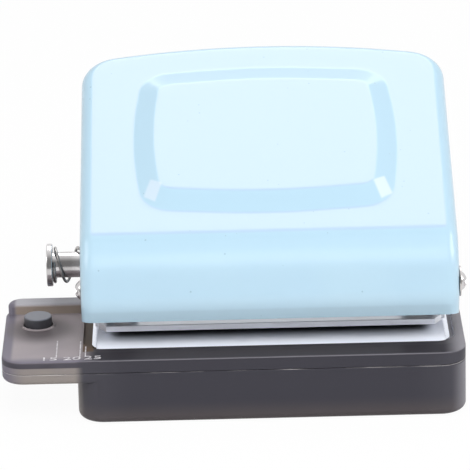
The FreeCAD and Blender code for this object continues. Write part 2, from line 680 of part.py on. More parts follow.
def rounded_path(points, radii, place):
    """Straight runs joined by tangent arcs; place turns plane coordinates into a point in space."""
    edges = []
    start = points[0]
    for before, corner, after, radius in zip(points, points[1:], points[2:], radii):
        run_in = math.hypot(corner[0] - before[0], corner[1] - before[1])
        run_out = math.hypot(after[0] - corner[0], after[1] - corner[1])
        back = ((before[0] - corner[0]) / run_in, (before[1] - corner[1]) / run_in)
        ahead = ((after[0] - corner[0]) / run_out, (after[1] - corner[1]) / run_out)
        half = math.acos(back[0] * ahead[0] + back[1] * ahead[1]) / 2
        reach = radius / math.tan(half)
        first = (corner[0] + back[0] * reach, corner[1] + back[1] * reach)
        last = (corner[0] + ahead[0] * reach, corner[1] + ahead[1] * reach)
        bisector = math.hypot(back[0] + ahead[0], back[1] + ahead[1])
        depth = radius / math.sin(half) - radius
        middle = (corner[0] + (back[0] + ahead[0]) / bisector * depth,
                  corner[1] + (back[1] + ahead[1]) / bisector * depth)
        edges.append(Part.makeLine(place(*start), place(*first)))
        edges.append(Part.Arc(place(*first), place(*middle), place(*last)).toShape())
        start = last
    edges.append(Part.makeLine(place(*start), place(*points[-1])))
    return edges


def polar(point, run, degrees):
    """Point at a distance from another, below and in front of it by this angle."""
    angle = math.radians(degrees)
    return point[0] - run * math.cos(angle), point[1] - run * math.sin(angle)


def skin_points():
    """Corners of the lever's outer skin in Y and Z, from the rear over the crease to the lower lip."""
    crease = (CREASE_Y, CREASE_Z)
    brow = polar(crease, BROW_RUN, BROW_DEG)
    nose = polar(brow, NOSE_RUN, NOSE_DEG)
    return [on_slope(SHELL_LENGTH, 0.0), crease, brow, nose, (LIP_Y, LIP_Z)]


def lever_block(inset, drop):
    """Solid inside the lever's outer skin moved in by inset; drop lengthens it below the lower edge."""
    x = -SHELL_HALF_W + inset

    def place(y, z):
        return V(x, y, z)

    skin = moved_in(skin_points(), -inset)
    nose, lip = skin[-2:]
    run = math.hypot(lip[0] - nose[0], lip[1] - nose[1])
    skin[-1] = (lip[0] + (lip[0] - nose[0]) / run * drop, lip[1] + (lip[1] - nose[1]) / run * drop)
    edges = rounded_path(skin, (CREASE_R - inset, BROW_R - inset, NOSE_R - inset), place)
    rear_y, rear_z = on_slope(SHELL_LENGTH, -REAR_DEPTH)
    low = [skin[-1], (SKIRT_LOW_Y, SKIRT_LOW_Z - drop), (SKIRT_TURN_Y, SKIRT_TURN_Z - drop),
           (rear_y, rear_z - drop), skin[0]]
    edges += [Part.makeLine(place(*a), place(*b)) for a, b in zip(low, low[1:])]
    face = Part.Face(Part.Wire(Part.__sortEdges__(edges)))
    block = face.extrude(V(2 * (SHELL_HALF_W - inset), 0, 0)).common(plan_block(inset))
    return block.makeFillet(SHELL_EDGE_R - inset, [e for e in block.Edges if is_skin_edge(e, inset)])


def plan_block(inset):
    """Tall block with the lever's outline in plan: bowed rear edge and round rear corners."""
    half = SHELL_HALF_W
    front = -60.0
    corners = [(half, front), (half, REAR_SIDE_T), (0.0, REAR_APEX_T), (-half, REAR_SIDE_T), (-half, front)]
    corners = moved_in(corners, -inset)

    def place(x, t):
        y, z = on_slope(t, -60.0)
        return V(x, y, z)

    corner_r = REAR_CORNER_R - inset
    edges = rounded_path(corners, (corner_r, REAR_BOW_R - inset, corner_r), place)
    edges.append(Part.makeLine(place(*corners[-1]), place(*corners[0])))
    angle = math.radians(SLOPE_DEG)
    up = V(0, -math.sin(angle), math.cos(angle)) * 90.0
    return Part.Face(Part.Wire(edges)).extrude(up)


def is_skin_edge(edge, inset):
    """True for an edge where the top or nose of the lever meets a side or rear wall."""
    middle = edge.valueAt((edge.FirstParameter + edge.LastParameter) / 2)
    ends = [vertex.Point for vertex in edge.Vertexes]
    at_side = abs(abs(middle.x) - (SHELL_HALF_W - inset)) < 0.01 and edge.BoundBox.XLength < 0.01
    on_top = all(abs(slope_height(point) + inset) < 0.02 for point in ends + [middle])
    at_rear = on_top and middle.y > CREASE_Y + 6.0
    rising = abs(ends[0].z - ends[-1].z) > edge.Length / 2
    at_nose = at_side and rising and max(point.y for point in ends) < CREASE_Y + 5.0
    return (on_top and at_side) or at_rear or at_nose


def slope_height(point):
    """Height of a point above the plane of the lever's top face."""
    angle = math.radians(SLOPE_DEG)
    return (point.z - CREASE_Z) * math.cos(angle) - (point.y - CREASE_Y) * math.sin(angle)


def panel_wire(shrink, height):
    """Pillow-sided outline of the raised panel, moved in by shrink, at a height above the top face."""
    wide, long_ = PANEL_CORNER_X, PANEL_CORNER_T
    start = (wide / 2, -(long_ + PANEL_END_APEX) / 2)
    corners = [start, (wide, -long_), (PANEL_SIDE_APEX, 0.0), (wide, long_), (0.0, PANEL_END_APEX),
               (-wide, long_), (-PANEL_SIDE_APEX, 0.0), (-wide, -long_), (0.0, -PANEL_END_APEX), start]
    corner_r = PANEL_CORNER_R - shrink
    side_r = PANEL_SIDE_R - shrink
    end_r = PANEL_END_R - shrink

    def place(x, t):
        y, z = on_slope(PANEL_MID_T + t, height)
        return V(x, y, z)

    radii = (corner_r, side_r, corner_r, end_r, corner_r, side_r, corner_r, end_r)
    return Part.Wire(rounded_path(moved_in(corners, -shrink), radii, place))


def panel_block(offset):
    """Raised panel as a bevelled block; offset sinks it by the sheet thickness."""
    low = panel_wire(-PANEL_BEVEL * PANEL_SINK / PANEL_RISE, -PANEL_SINK - offset)
    high = panel_wire(PANEL_BEVEL, PANEL_RISE - offset)
    return Part.makeLoft([low, high], True, True)


def handle_shell():
    """Pressed steel lever: sloping top with a raised panel, curved nose, skirts and a rear lip."""
    outer = fuse_all([lever_block(0.0, 0.0), panel_block(0.0)])
    inner = fuse_all([lever_block(SHELL_SHEET, SKIRT_CLEARANCE), panel_block(SHELL_SHEET)])
    shell = outer.cut(inner)
    shell = shell.cut(rod_x(SHAFT_R + RUNNING_FIT, -SHELL_HALF_W - 1.0, SHELL_HALF_W + 1.0, PIVOT_Y, PIVOT_Z))
    shell = shell.cut(rod_x(LOCK_BARREL_R, -SHELL_HALF_W - 1.0, -SHELL_HALF_W + 4.0, LOCK_Y, LOCK_Z))
    return shell


def inner_bar(radius, y, z):
    """Round bar welded between the skirts, with its ends shaped to the lever's inside."""
    reach = SHELL_HALF_W - SHELL_SHEET
    return rod_x(radius, -reach, reach, y, z).common(lever_block(SHELL_SHEET, SKIRT_CLEARANCE))


def press_bar():
    """Round bar that bears on both punch heads."""
    return inner_bar(PRESS_BAR_R, PUNCH_Y, PUNCH_TOP_Z + PRESS_BAR_GAP + PRESS_BAR_R)


def stop_rod():
    """Thin rod in the nose that meets the ears when the lever is up."""
    return inner_bar(STOP_ROD_R, STOP_ROD_Y, STOP_ROD_Z)


def lock_bush():
    """Bush with a thin rim, riveted flush into the left skirt, that guides the lock pin."""
    rim = rod_x(LOCK_FLANGE_R, -SHELL_HALF_W - LOCK_FLANGE_T, -SHELL_HALF_W, LOCK_Y, LOCK_Z)
    barrel = rod_x(LOCK_BARREL_R, -SHELL_HALF_W, -SHELL_HALF_W + SHELL_SHEET, LOCK_Y, LOCK_Z)
    bore = rod_x(LOCK_SHAFT_R + RUNNING_FIT, -SHELL_HALF_W - 1.0, -SHELL_HALF_W + 2.0, LOCK_Y, LOCK_Z)
    return fuse_all([rim, barrel]).cut(bore)


def lock_ring_place():
    """Outer and inner X of the snap ring, which rests just inside the skirt."""
    outer = -SHELL_HALF_W + SHELL_SHEET + RUNNING_FIT
    return outer, outer + LOCK_RING_T


def lock_pin():
    """Push pin with a round head and a stepped tip that enters the left ear when the lever is down."""
    head = rod_x(LOCK_HEAD_R, LOCK_HEAD_X, LOCK_HEAD_X + LOCK_HEAD_T, LOCK_Y, LOCK_Z)
    head = head.makeFillet(0.35, [head.Edges[0], head.Edges[2]])
    shaft = rod_x(LOCK_SHAFT_R, LOCK_HEAD_X + 0.5, LOCK_SHAFT_END_X, LOCK_Y, LOCK_Z)
    tip = rod_x(LOCK_TIP_R, LOCK_SHAFT_END_X - 1.0, LOCK_TIP_END_X, LOCK_Y, LOCK_Z)
    tip = tip.makeChamfer(0.4, [tip.Edges[0]])
    groove = ring_x(LOCK_SHAFT_R + 1.0, LOCK_GROOVE_R, *lock_ring_place(), LOCK_Y, LOCK_Z)
    return fuse_all([head, shaft, tip]).cut(groove)


def lock_ring():
    """Snap ring in the pin's groove, inside the skirt, that keeps the pin from coming out."""
    outer, inner = lock_ring_place()
    ring = ring_x(LOCK_RING_R, LOCK_GROOVE_R, outer, inner, LOCK_Y, LOCK_Z)
    mouth = box(outer - 1.0, inner + 1.0, LOCK_Y - 1.2, LOCK_Y + 1.2, LOCK_Z, LOCK_Z + LOCK_RING_R + 1.0)
    return ring.cut(mouth)


def lock_spring():
    """Coil that pushes the lock pin outwards: a flat end turn at the head, then one wide turn."""
    start = LOCK_HEAD_X + LOCK_HEAD_T
    length = -SHELL_HALF_W - LOCK_FLANGE_T - start
    turns = (length - 2 * LOCK_WIRE_R) / LOCK_SPRING_PITCH
    open_turn = coil(LOCK_SPRING_R, LOCK_WIRE_R, length, turns)
    section = Part.Face(Part.Wire(Part.makeCircle(LOCK_WIRE_R, V(LOCK_SPRING_R, 0, LOCK_WIRE_R), Y_AXIS)))
    end_turn = section.revolve(V(0, 0, 0), Z_AXIS, -LOCK_END_TURN_DEG)
    joint = Part.makeSphere(LOCK_WIRE_R, V(LOCK_SPRING_R, 0, LOCK_WIRE_R))
    spring = fuse_all([open_turn, joint, end_turn])
    spring.rotate(V(0, 0, 0), Y_AXIS, 90)
    spring.rotate(V(0, 0, 0), X_AXIS, 180)
    spring.translate(V(start, LOCK_Y, LOCK_Z))
    return spring


def tray_button():
    """Black push button: hollow cap on a stem that reaches through the cup's floor."""
    cap = rod_z(BUTTON_R, BUTTON_BOTTOM_Z, BUTTON_TOP_Z, BUTTON_X, BUTTON_Y)
    cap = cap.makeFillet(0.45, [cap.Edges[0]])
    hollow = rod_z(BUTTON_R - BUTTON_WALL, BUTTON_BOTTOM_Z - 1.0, BUTTON_TOP_Z - 1.0, BUTTON_X, BUTTON_Y)
    stem = rod_z(STEM_R, STEM_END_Z, BUTTON_TOP_Z - 0.5, BUTTON_X, BUTTON_Y)
    clip_seat = rod_z(STEM_R + 1.0, STEM_END_Z + 0.3, STEM_END_Z + 0.8, BUTTON_X, BUTTON_Y)
    clip_seat = clip_seat.cut(rod_z(STEM_R - 0.4, STEM_END_Z, STEM_END_Z + 2.0, BUTTON_X, BUTTON_Y))
    return fuse_all([cap.cut(hollow), stem]).cut(clip_seat)


def button_clip():
    """Snap ring on the button's stem, under the cup."""
    z0 = STEM_END_Z + 0.3
    z1 = STEM_END_Z + 0.8
    ring = rod_z(STEM_R + 0.9, z0, z1, BUTTON_X, BUTTON_Y)
    ring = ring.cut(rod_z(STEM_R - 0.4, z0 - 1.0, z1 + 1.0, BUTTON_X, BUTTON_Y))
    return ring.cut(box(BUTTON_X, BUTTON_X + 4.0, BUTTON_Y - 0.7, BUTTON_Y + 0.7, z0 - 1.0, z1 + 1.0))


def button_spring():
    """Small coil under the button's cap."""
    length = BUTTON_TOP_Z - 1.0 - CUP_FLOOR_Z
    spring = coil(BUTTON_SPRING_R, BUTTON_WIRE_R, length, BUTTON_SPRING_TURNS)
    spring.translate(V(BUTTON_X, BUTTON_Y, CUP_FLOOR_Z))
    return spring


def nodes():
    """Every node of the punch by name."""
    return {
        "chip_tray": chip_tray(),
        "feet": feet(),
        "hinge_pins": hinge_pins(),
        "base_cover": base_cover(),
        "die_plate": die_plate(),
        "depth_stop": depth_stop(),
        "guide_frame": guide_frame(),
        "frame_rivets": frame_rivets(),
        "plate_screws": plate_screws(),
        "punch_guides": punch_guides(),
        "punch_left": punch(-1),
        "punch_right": punch(1),
        "punch_spring_left": punch_spring(-1),
        "punch_spring_right": punch_spring(1),
        "pivot_shaft": pivot_shaft(),
        "pivot_spacers": pivot_spacers(),
        "pivot_washer": pivot_washer(),
        "handle_shell": handle_shell(),
        "press_bar": press_bar(),
        "stop_rod": stop_rod(),
        "lock_bush": lock_bush(),
        "lock_pin": lock_pin(),
        "lock_ring": lock_ring(),
        "lock_spring": lock_spring(),
        "tray_button": tray_button(),
        "button_clip": button_clip(),
        "button_spring": button_spring(),
    }


def main():
    """Build every node and write its STEP file."""
    os.makedirs("parts", exist_ok=True)
    for name, shape in nodes().items():
        print(f"{name:20s} solids {len(shape.Solids)} valid {shape.isValid()} volume {shape.Volume:9.1f}")
        shape.exportStep(f"parts/{name}.step")


main()
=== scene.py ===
"""Dresses the two-hole desk paper punch: painted lever, plated steel works and smoked plastic base.

Shapes are given in millimetres and turned into metres where a mesh is made. Places in a finish are
in metres, as shader coordinates are. X runs along the paper edge, -Y faces the user and +Z is up.
"""

import logging
import math
from collections.abc import Sequence
from dataclasses import dataclass
from enum import Enum
from functools import cache, partial, reduce
from itertools import accumulate

import bmesh
import bpy
from mathutils import Matrix, Vector


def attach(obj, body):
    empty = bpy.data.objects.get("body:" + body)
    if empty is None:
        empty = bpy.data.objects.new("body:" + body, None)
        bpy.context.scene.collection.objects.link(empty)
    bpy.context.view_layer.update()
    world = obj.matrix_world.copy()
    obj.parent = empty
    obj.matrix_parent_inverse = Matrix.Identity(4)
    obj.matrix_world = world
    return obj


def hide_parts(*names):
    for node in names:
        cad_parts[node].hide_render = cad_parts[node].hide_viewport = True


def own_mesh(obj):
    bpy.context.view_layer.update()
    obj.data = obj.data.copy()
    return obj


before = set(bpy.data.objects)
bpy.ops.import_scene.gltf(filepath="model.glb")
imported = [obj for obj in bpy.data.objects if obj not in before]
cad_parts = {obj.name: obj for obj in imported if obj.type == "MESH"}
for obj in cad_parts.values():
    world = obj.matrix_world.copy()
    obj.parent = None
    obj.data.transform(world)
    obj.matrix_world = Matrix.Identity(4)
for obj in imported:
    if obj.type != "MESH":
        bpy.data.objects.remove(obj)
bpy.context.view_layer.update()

MM = 0.001
WELD = 0.002
CRISP_ABOVE = 38.0
ROUNDED_ABOVE = 35.0
ROUNDING_STEPS = 2
WHITE = (1.0, 1.0, 1.0, 1.0)

Point = tuple[float, float, float]
Flat = tuple[float, float]
Colour = tuple[float, float, float, float]
Tree = bpy.types.NodeTree
Node = bpy.types.Node
Socket = bpy.types.NodeSocket
Material = bpy.types.Material
Piece = bpy.types.Object

log = logging.getLogger("punch")


class Body(Enum):
    """Moving bodies that the pieces built here ride on."""

    UPPER = "upper"
    HANDLE = "handle"


class Slot(Enum):
    """Finish names for the pieces that replace a CAD node; nothing in this script uses them."""

    PAINT = "blue_paint"
    SPRING = "spring_steel"


class Axis(Enum):
    """Directions that a coil can run in."""

    X = (1.0, 0.0, 0.0)
    Z = (0.0, 0.0, 1.0)


class Along(Enum):
    """Ways to measure a place on a surface: along an axis, or out from the middle to either side."""

    X = 0
    Y = 1
    Z = 2
    OUT = 3


X, Y, Z, OUT = Along
Zone = tuple[tuple[Along, float, float], ...]
Dressing = dict[str, tuple[Material, float]]


def tint(red: int, green: int, blue: int) -> Colour:
    """Turns a paint-chart colour into the renderer's linear one.

    Args:
        red: Red from 0 to 255.
        green: Green from 0 to 255.
        blue: Blue from 0 to 255.

    Returns:
        Linear red, green, blue and an alpha of 1.
    """
    linear = []
    for part in (red, green, blue):
        share = part / 255
        linear.append(share / 12.92 if share <= 0.04045 else ((share + 0.055) / 1.055) ** 2.4)
    return linear[0], linear[1], linear[2], 1.0


# ---------------------------------------------------------------- shader benches and groups


@dataclass
class Bench:
    """Node tree with short calls that place and wire its nodes."""

    tree: Tree

    def feed(self, node: Node, inputs: dict) -> None:
        """Sets a node's inputs.

        Args:
            node: Node to feed.
            inputs: Values, or sockets to link, by the input's name or index.
        """
        for key, value in inputs.items():
            if isinstance(value, Socket):
                self.tree.links.new(value, node.inputs[key])
            else:
                node.inputs[key].default_value = value

    def node(self, kind: str, inputs: dict | None = None, **settings: object) -> Node:
        """Places one node.

        Args:
            kind: Node type without its ShaderNode prefix.
            inputs: Values or sockets by the input's name or index.
            settings: Properties of the node itself.

        Returns:
            The new node.
        """
        made = self.tree.nodes.new("ShaderNode" + kind)
        for name, value in settings.items():
            setattr(made, name, value)
        self.feed(made, inputs or {})
        return made

    def use(self, tree: Tree, **inputs: object) -> Node:
        """Places a node group."""
        return self.node("Group", inputs, node_tree=tree)

    def math(self, kind: str, first: object, second: object = 0.0) -> Socket:
        """Does one sum, such as ADD, with values or sockets."""
        return self.node("Math", {0: first, 1: second}, operation=kind).outputs[0]

    def vector(self, kind: str, first: object, second: object, output: str = "Vector") -> Socket:
        """Does one sum, such as SUBTRACT, with vectors."""
        return self.node("VectorMath", {0: first, 1: second}, operation=kind).outputs[output]

    def times(self, *shares: object) -> Socket:
        """Multiplies shares with one another."""
        return reduce(partial(self.math, "MULTIPLY"), shares)

    def ramp(self, value: object, low: float, high: float) -> Socket:
        """Grades a value by a smooth step, from 0 at low to 1 at high."""
        inputs = {"Value": value, "From Min": low, "From Max": high}
        return self.node("MapRange", inputs, interpolation_type="SMOOTHSTEP").outputs["Result"]

    def between(self, share: object, low: object, high: object) -> Socket:
        """Turns a share into a value from low to high."""
        return self.node("MapRange", {0: share, 3: low, 4: high}).outputs[0]

    def blend(self, share: object, first: object, second: object) -> Socket:
        """Mixes two colours by the share of the second one."""
        return self.node("Mix", {0: share, 6: first, 7: second}, data_type="RGBA").outputs[2]

    def bump(self, height: Socket, strength: float, depth: float) -> Socket:
        """Turns a relief of some depth in metres into a normal."""
        return self.node("Bump", {"Height": height, "Strength": strength, "Distance": depth}).outputs[0]

    def coordinate(self, kind: str = "Object") -> Socket:
        """Gives one of the surface's own coordinates."""
        return self.node("TexCoord").outputs[kind]

    def axes(self, vector: Socket) -> Sequence[Socket]:
        """Splits a vector into X, Y and Z."""
        return self.node("SeparateXYZ", {0: vector}).outputs

    def zone(self, bands: Zone, *shares: object) -> Socket:
        """Grades a zone of the surface, where several bands overlap.

        Args:
            bands: For each band, how it is measured and the places that give 0 and 1.
            shares: Further shares to multiply it with.

        Returns:
            Share of the zone.
        """
        places = list(self.axes(self.coordinate()))
        places.append(self.math("ABSOLUTE", places[0]))
        return self.times(*(self.ramp(places[along.value], low, high) for along, low, high in bands), *shares)


class Effect:
    """Shared surface effects, each one node group that is built once."""

    @staticmethod
    def _open(name: str, **inputs: object) -> tuple[Bench, dict[str, Socket]]:
        """Starts a new group.

        Args:
            name: Name of the group.
            inputs: Default number, or three numbers for a vector, by input name.

        Returns:
            Bench on the group's tree, and its input sockets by name.
        """
        tree = bpy.data.node_groups.new(name, "ShaderNodeTree")
        for key, value in inputs.items():
            kind = "NodeSocketVector" if isinstance(value, tuple) else "NodeSocketFloat"
            tree.interface.new_socket(key, in_out="INPUT", socket_type=kind).default_value = value
        start = tree.nodes.new("NodeGroupInput")
        return Bench(tree), {key: start.outputs[key] for key in inputs}

    @staticmethod
    def _close(bench: Bench, **values: Socket) -> Tree:
        """Gives a group its outputs.

        Args:
            bench: Bench on the group's tree.
            values: What goes out, by output name.

        Returns:
            The group's tree.
        """
        for key in values:
            bench.tree.interface.new_socket(key, in_out="OUTPUT", socket_type="NodeSocketFloat")
        bench.feed(bench.tree.nodes.new("NodeGroupOutput"), values)
        return bench.tree

    @staticmethod
    @cache
    def grain() -> Tree:
        """Fine even grain with a slow cloud under it, as in sprayed paint or moulded plastic.

        Returns:
            The group, with Height and Cloud.
        """
        bench, given = Effect._open("grain", Fine=2500.0, Slow=60.0)
        place = bench.coordinate()
        fine = bench.node("TexNoise", {"Vector": place, "Scale": given["Fine"], "Detail": 3.0})
        slow = bench.node("TexNoise", {"Vector": place, "Scale": given["Slow"], "Detail": 2.0})
        return Effect._close(bench, Height=fine.outputs["Fac"], Cloud=bench.ramp(slow.outputs["Fac"], 0.3, 0.7))

    @staticmethod
    @cache
    def brushing() -> Tree:
        """Fine drawn lines along one direction, with slow bands across them.

        Returns:
            The group, with Height and Band.
        """
        bench, given = Effect._open("brushing", Stretch=(30.0, 2400.0, 2400.0))
        drawn = bench.vector("MULTIPLY", bench.coordinate(), given["Stretch"])
        lines = bench.node("TexNoise", {"Vector": drawn, "Scale": 1.0, "Detail": 4.0, "Roughness": 0.6})
        wide = bench.node("TexNoise", {"Vector": drawn, "Scale": 0.12, "Detail": 2.0})
        return Effect._close(bench, Height=lines.outputs["Fac"], Band=bench.ramp(wide.outputs["Fac"], 0.3, 0.7))

    @staticmethod
    @cache
    def specks() -> Tree:
        """Sparse small specks at uneven places.

        Returns:
            The group, with Mask.
        """
        bench, given = Effect._open("specks", Scale=300.0, Size=0.14, Share=0.12)
        cells = bench.node("TexVoronoi", {"Vector": bench.coordinate(), "Scale": given["Scale"]}).outputs
        dot = bench.math("LESS_THAN", cells["Distance"], given["Size"])
        pick = bench.node("SeparateColor", {0: cells["Color"]}).outputs[0]
        return Effect._close(bench, Mask=bench.times(dot, bench.math("LESS_THAN", pick, given["Share"])))


def new_material(name: str, roughness: float) -> tuple[Material, Bench, Node]:
    """Starts a node material.

    Args:
        name: Name of the material.
        roughness: Roughness of its shader.

    Returns:
        The material, a bench on its tree, and its Principled shader.
    """
    material = bpy.data.materials.new(name)
    material.use_nodes = True
    shader = material.node_tree.nodes["Principled BSDF"]
    shader.inputs["Roughness"].default_value = roughness
    return material, Bench(material.node_tree), shader


@dataclass(frozen=True)
class PaintFinish:
    """Glossy sprayed paint with faint orange peel and a few darker specks, and painted shade and light graded by the
    way each face points.
    """

    name: str = "sky_blue_paint"
    colour: Colour = tint(170, 198, 214)
    shade: Colour = tint(164, 193, 212)
    # upper, under and flat are painted shade and light: up-facing faces a little darker, faces under the lip darker,
    # faces lying in the top's slope darker again.
    upper: Colour = tint(163, 193, 210)
    under: Colour = tint(161, 188, 204)
    flat: Colour = tint(161, 185, 208)
    speck: Colour = tint(141, 168, 183)
    upper_facing: Flat = (0.3, 0.8)
    under_facing: Flat = (-0.20, -0.31)
    slope: Point = (0.0, -0.3795, 0.9252)
    along_slope: Flat = (0.98, 0.998)
    # Painted highlights on the panel's two lower bevel corners, standing in for reflections of the lamps.
    painted_highlight: tuple[Colour, Colour] = (tint(189, 204, 217), tint(200, 213, 215))
    corners: tuple[Point, Point] = ((-0.0308, -0.0142, 0.0558), (0.0312, -0.0148, 0.0556))
    across_bevel: tuple[Point, float] = ((0.59, -0.7465, -0.306), 0.0030)
    along_bevel: tuple[Point, float] = ((-0.954, -0.2775, -0.1137), 0.0018)
    cloud_share: float = 0.35
    speck_share: float = 0.8
    facet_share: float = 0.85
    facet_edge: float = 0.0004
    roughness: float = 0.28

    def facet(self, bench: Bench, corner: Point) -> Socket:
        """Grades the small facet where the panel's bevel turns one of its lower corners, where a highlight is
        painted.

        Args:
            bench: Bench on the material's tree.
            corner: Middle of the facet.

        Returns:
            Share of the facet.
        """
        share = self.facet_share
        side = math.copysign(1.0, corner[0])
        away = bench.vector("SUBTRACT", bench.coordinate(), corner)
        for (x, y, z), reach in (self.across_bevel, self.along_bevel):
            run = bench.vector("DOT_PRODUCT", away, (x * side, y, z), "Value")
            inner = bench.ramp(bench.math("ABSOLUTE", run), reach + self.facet_edge, reach - self.facet_edge)
            share = bench.times(inner, share)
        return share

    def material(self) -> Material:
        """Builds the paint.

        Returns:
            The material.
        """
        material, bench, shader = new_material(self.name, self.roughness)
        grain = bench.use(Effect.grain(), Fine=1400.0, Slow=45.0).outputs
        specks = bench.use(Effect.specks(), Scale=330.0, Size=0.085, Share=0.22).outputs
        normal = bench.coordinate("Normal")
        facing = bench.axes(normal)[2]
        level = bench.vector("DOT_PRODUCT", normal, self.slope, "Value")
        tone = bench.blend(bench.times(grain["Cloud"], self.cloud_share), self.colour, self.shade)
        # Painted shade and light by the way each face points.
        tone = bench.blend(bench.ramp(facing, *self.upper_facing), tone, self.upper)
        tone = bench.blend(bench.ramp(facing, *self.under_facing), tone, self.under)
        tone = bench.blend(bench.ramp(level, *self.along_slope), tone, self.flat)
        # Painted highlights at the two lower corners of the panel's bevel.
        for corner, painted_highlight in zip(self.corners, self.painted_highlight):
            tone = bench.blend(self.facet(bench, corner), tone, painted_highlight)
        tone = bench.blend(bench.times(specks["Mask"], self.speck_share), tone, self.speck)
        bench.feed(shader, {"Base Color": tone, "Coat Weight": 0.35, "Coat Roughness": 0.08,
                            "Normal": bench.bump(grain["Height"], 0.06, 0.00006)})
        return material


@dataclass(frozen=True)
class SmokeFinish:
    """Smoked plastic with light and shade painted into its colour: dark over the tray, lighter and warmer where the
    thin wing lets light through.
    """

    name: str = "smoked_moulding"
    deep: Colour = tint(58, 57, 64)
    low: Colour = tint(74, 69, 71)
    # crown is painted shade: the top of the rim round the die plate, under the lever, darker than the tray.
    crown: Colour = tint(48, 46, 51)
    # thin, band and rim are painted light coming through the plastic: the wing's deck lightest and warmest, its
    # sides less, its rim darker.
    thin: Colour = tint(147, 139, 141)
    rim: Colour = tint(108, 104, 115)
    bead: Colour = tint(61, 59, 65)
    band: Colour = tint(135, 128, 123)
    well: Colour = tint(78, 60, 44)
    # cup is painted shade on the deck in front of the button, for the button's shadow and the dark cup seen through
    # the plastic.
    cup: Colour = tint(88, 82, 84)
    # fence and ridge are lit and shaded tones of one moulding: the fence's top painted lighter than its front.
    fence: Colour = tint(142, 130, 121)
    ridge: Colour = tint(158, 156, 161)
    # clear is painted light: a lighter tone at the tray's ends, its right end and corner, and on the right well's
    # wall.
    clear: Colour = tint(127, 125, 131)
    # Painted highlight along the parting line between tray and cover.
    wear_and_sheen: Colour = tint(207, 203, 203)
    edge: Colour = tint(100, 98, 104)
    # pale is painted light on the right well's wall, which lies in shade.
    pale: Colour = tint(218, 216, 220)
    roughness: float = 0.42
    deck: Zone = ((Z, 0.0176, 0.0181),)
    foot: Zone = ((Z, 0.0065, 0.0010),)
    tray_ends: Zone = ((OUT, 0.0360, 0.0520),)
    tray_ends_share: float = 0.08
    right_crown: Zone = ((X, 0.0455, 0.0515),)
    right_corner: Zone = ((X, 0.0475, 0.0530), (Z, 0.0143, 0.0139))
    wing_under: Zone = ((X, -0.0500, -0.0528),)
    wing_deck: Zone = ((X, -0.0465, -0.0525),)
    off_left_under: Zone = ((X, -0.0715, -0.0655),)
    off_left_deck: Zone = ((X, -0.0700, -0.0688),)
    off_front: Zone = ((Y, -0.0428, -0.0385),)
    bead_line: Zone = ((Z, 0.0162, 0.0165),)
    cloud_share: float = 0.25
    cup_shade: tuple[Point, Flat] = ((-0.0625, -0.0185, 0.0182), (0.0125, 0.0045))
    # cup_ring places a painted highlight: a light crescent round the front of the button.
    cup_ring: tuple[Point, Flat, Flat] = ((-0.0630, -0.0150, 0.0182), (0.0039, 0.0041), (0.0051, 0.0046))
    ring_front: Zone = ((Y, -0.0162, -0.0175),)
    fence_rise: Zone = ((Z, 0.0183, 0.0186), (Y, -0.0079, -0.0074))
    fence_top: Zone = ((Z, 0.0204, 0.0212),)
    left_well: Zone = ((X, -0.0506, -0.0503), (X, -0.0474, -0.0476), (Y, -0.0368, -0.0364), (Z, 0.0190, 0.0186))
    right_well: Zone = ((X, 0.0476, 0.0478), (Z, 0.01845, 0.0183), (X, 0.0500, 0.0497), (Y, -0.0352, -0.0350))
    well_wall: Zone = ((X, 0.0492, 0.0494),)
    lit_edge: Zone = ((Z, 0.01785, 0.01800), (Z, 0.01825, 0.01815), (Y, -0.0420, -0.0424), (X, -0.0515, -0.0490))
    parting: Zone = ((Z, 0.01435, 0.01445), (Z, 0.01470, 0.01462), (Y, 0.043, 0.0415))
    sheen_ends: tuple[Zone, Zone] = (((X, -0.0500, -0.0560),), ((X, 0.0360, 0.0500),))
    sheen_share: float = 0.6
    patches: Point = (90.0, 90.0, 0.0)
    patchy: Flat = (0.42, 0.72)
    patchy_share: float = 0.7
    upright: Flat = (0.95, 0.75)

    def tray(self, bench: Bench, top: Socket) -> Socket:
        """Tones the tray and its cover: painted shade darkest on the rim's top, painted light at the tray's ends and
        at its right end and corner, and lighter along the foot.

        Args:
            bench: Bench on the material's tree.
            top: Share of the deck.

        Returns:
            The tone.
        """
        # Painted light at the ends and at the right end and corner, painted shade on the rim's top.
        tone = bench.blend(bench.zone(self.foot), self.deep, self.low)
        tone = bench.blend(bench.zone(self.tray_ends, self.tray_ends_share), tone, self.clear)
        crown = bench.blend(bench.zone(self.right_crown), self.crown, self.clear)
        return bench.blend(bench.zone(self.right_corner), bench.blend(top, tone, crown), self.clear)

    def wing(self, bench: Bench, top: Socket, cloud: Socket) -> Socket:
        """Tones the wing with painted light: lighter where light comes through the thin deck and darker at its rim,
        the bead under the deck, painted shade in front of the button with a painted highlight round it, and the
        fence with a lighter top.

        Args:
            bench: Bench on the material's tree.
            top: Share of the deck.
            cloud: Slow cloud of the grain.

        Returns:
            The tone.
        """
        sunk = bench.math("SUBTRACT", 1.0, top)
        off_left = bench.math("MAXIMUM", bench.zone(self.off_left_deck, top), bench.zone(self.off_left_under, sunk))
        inside = bench.times(off_left, bench.math("MAXIMUM", bench.zone(self.off_front), sunk))
        # Painted light coming through the wing: lightest on the deck, less on its sides, darker at the rim.
        tone = bench.blend(inside, self.rim, bench.blend(top, self.band, self.thin))
        tone = bench.blend(bench.zone(self.bead_line, sunk), tone, self.bead)
        tone = bench.blend(bench.times(cloud, self.cloud_share), tone, self.rim)
        # Painted shade on the deck in front of the button.
        middle, fade = self.cup_shade
        away = bench.vector("DISTANCE", bench.coordinate(), middle, "Value")
        tone = bench.blend(bench.times(top, bench.ramp(away, *fade)), tone, self.cup)
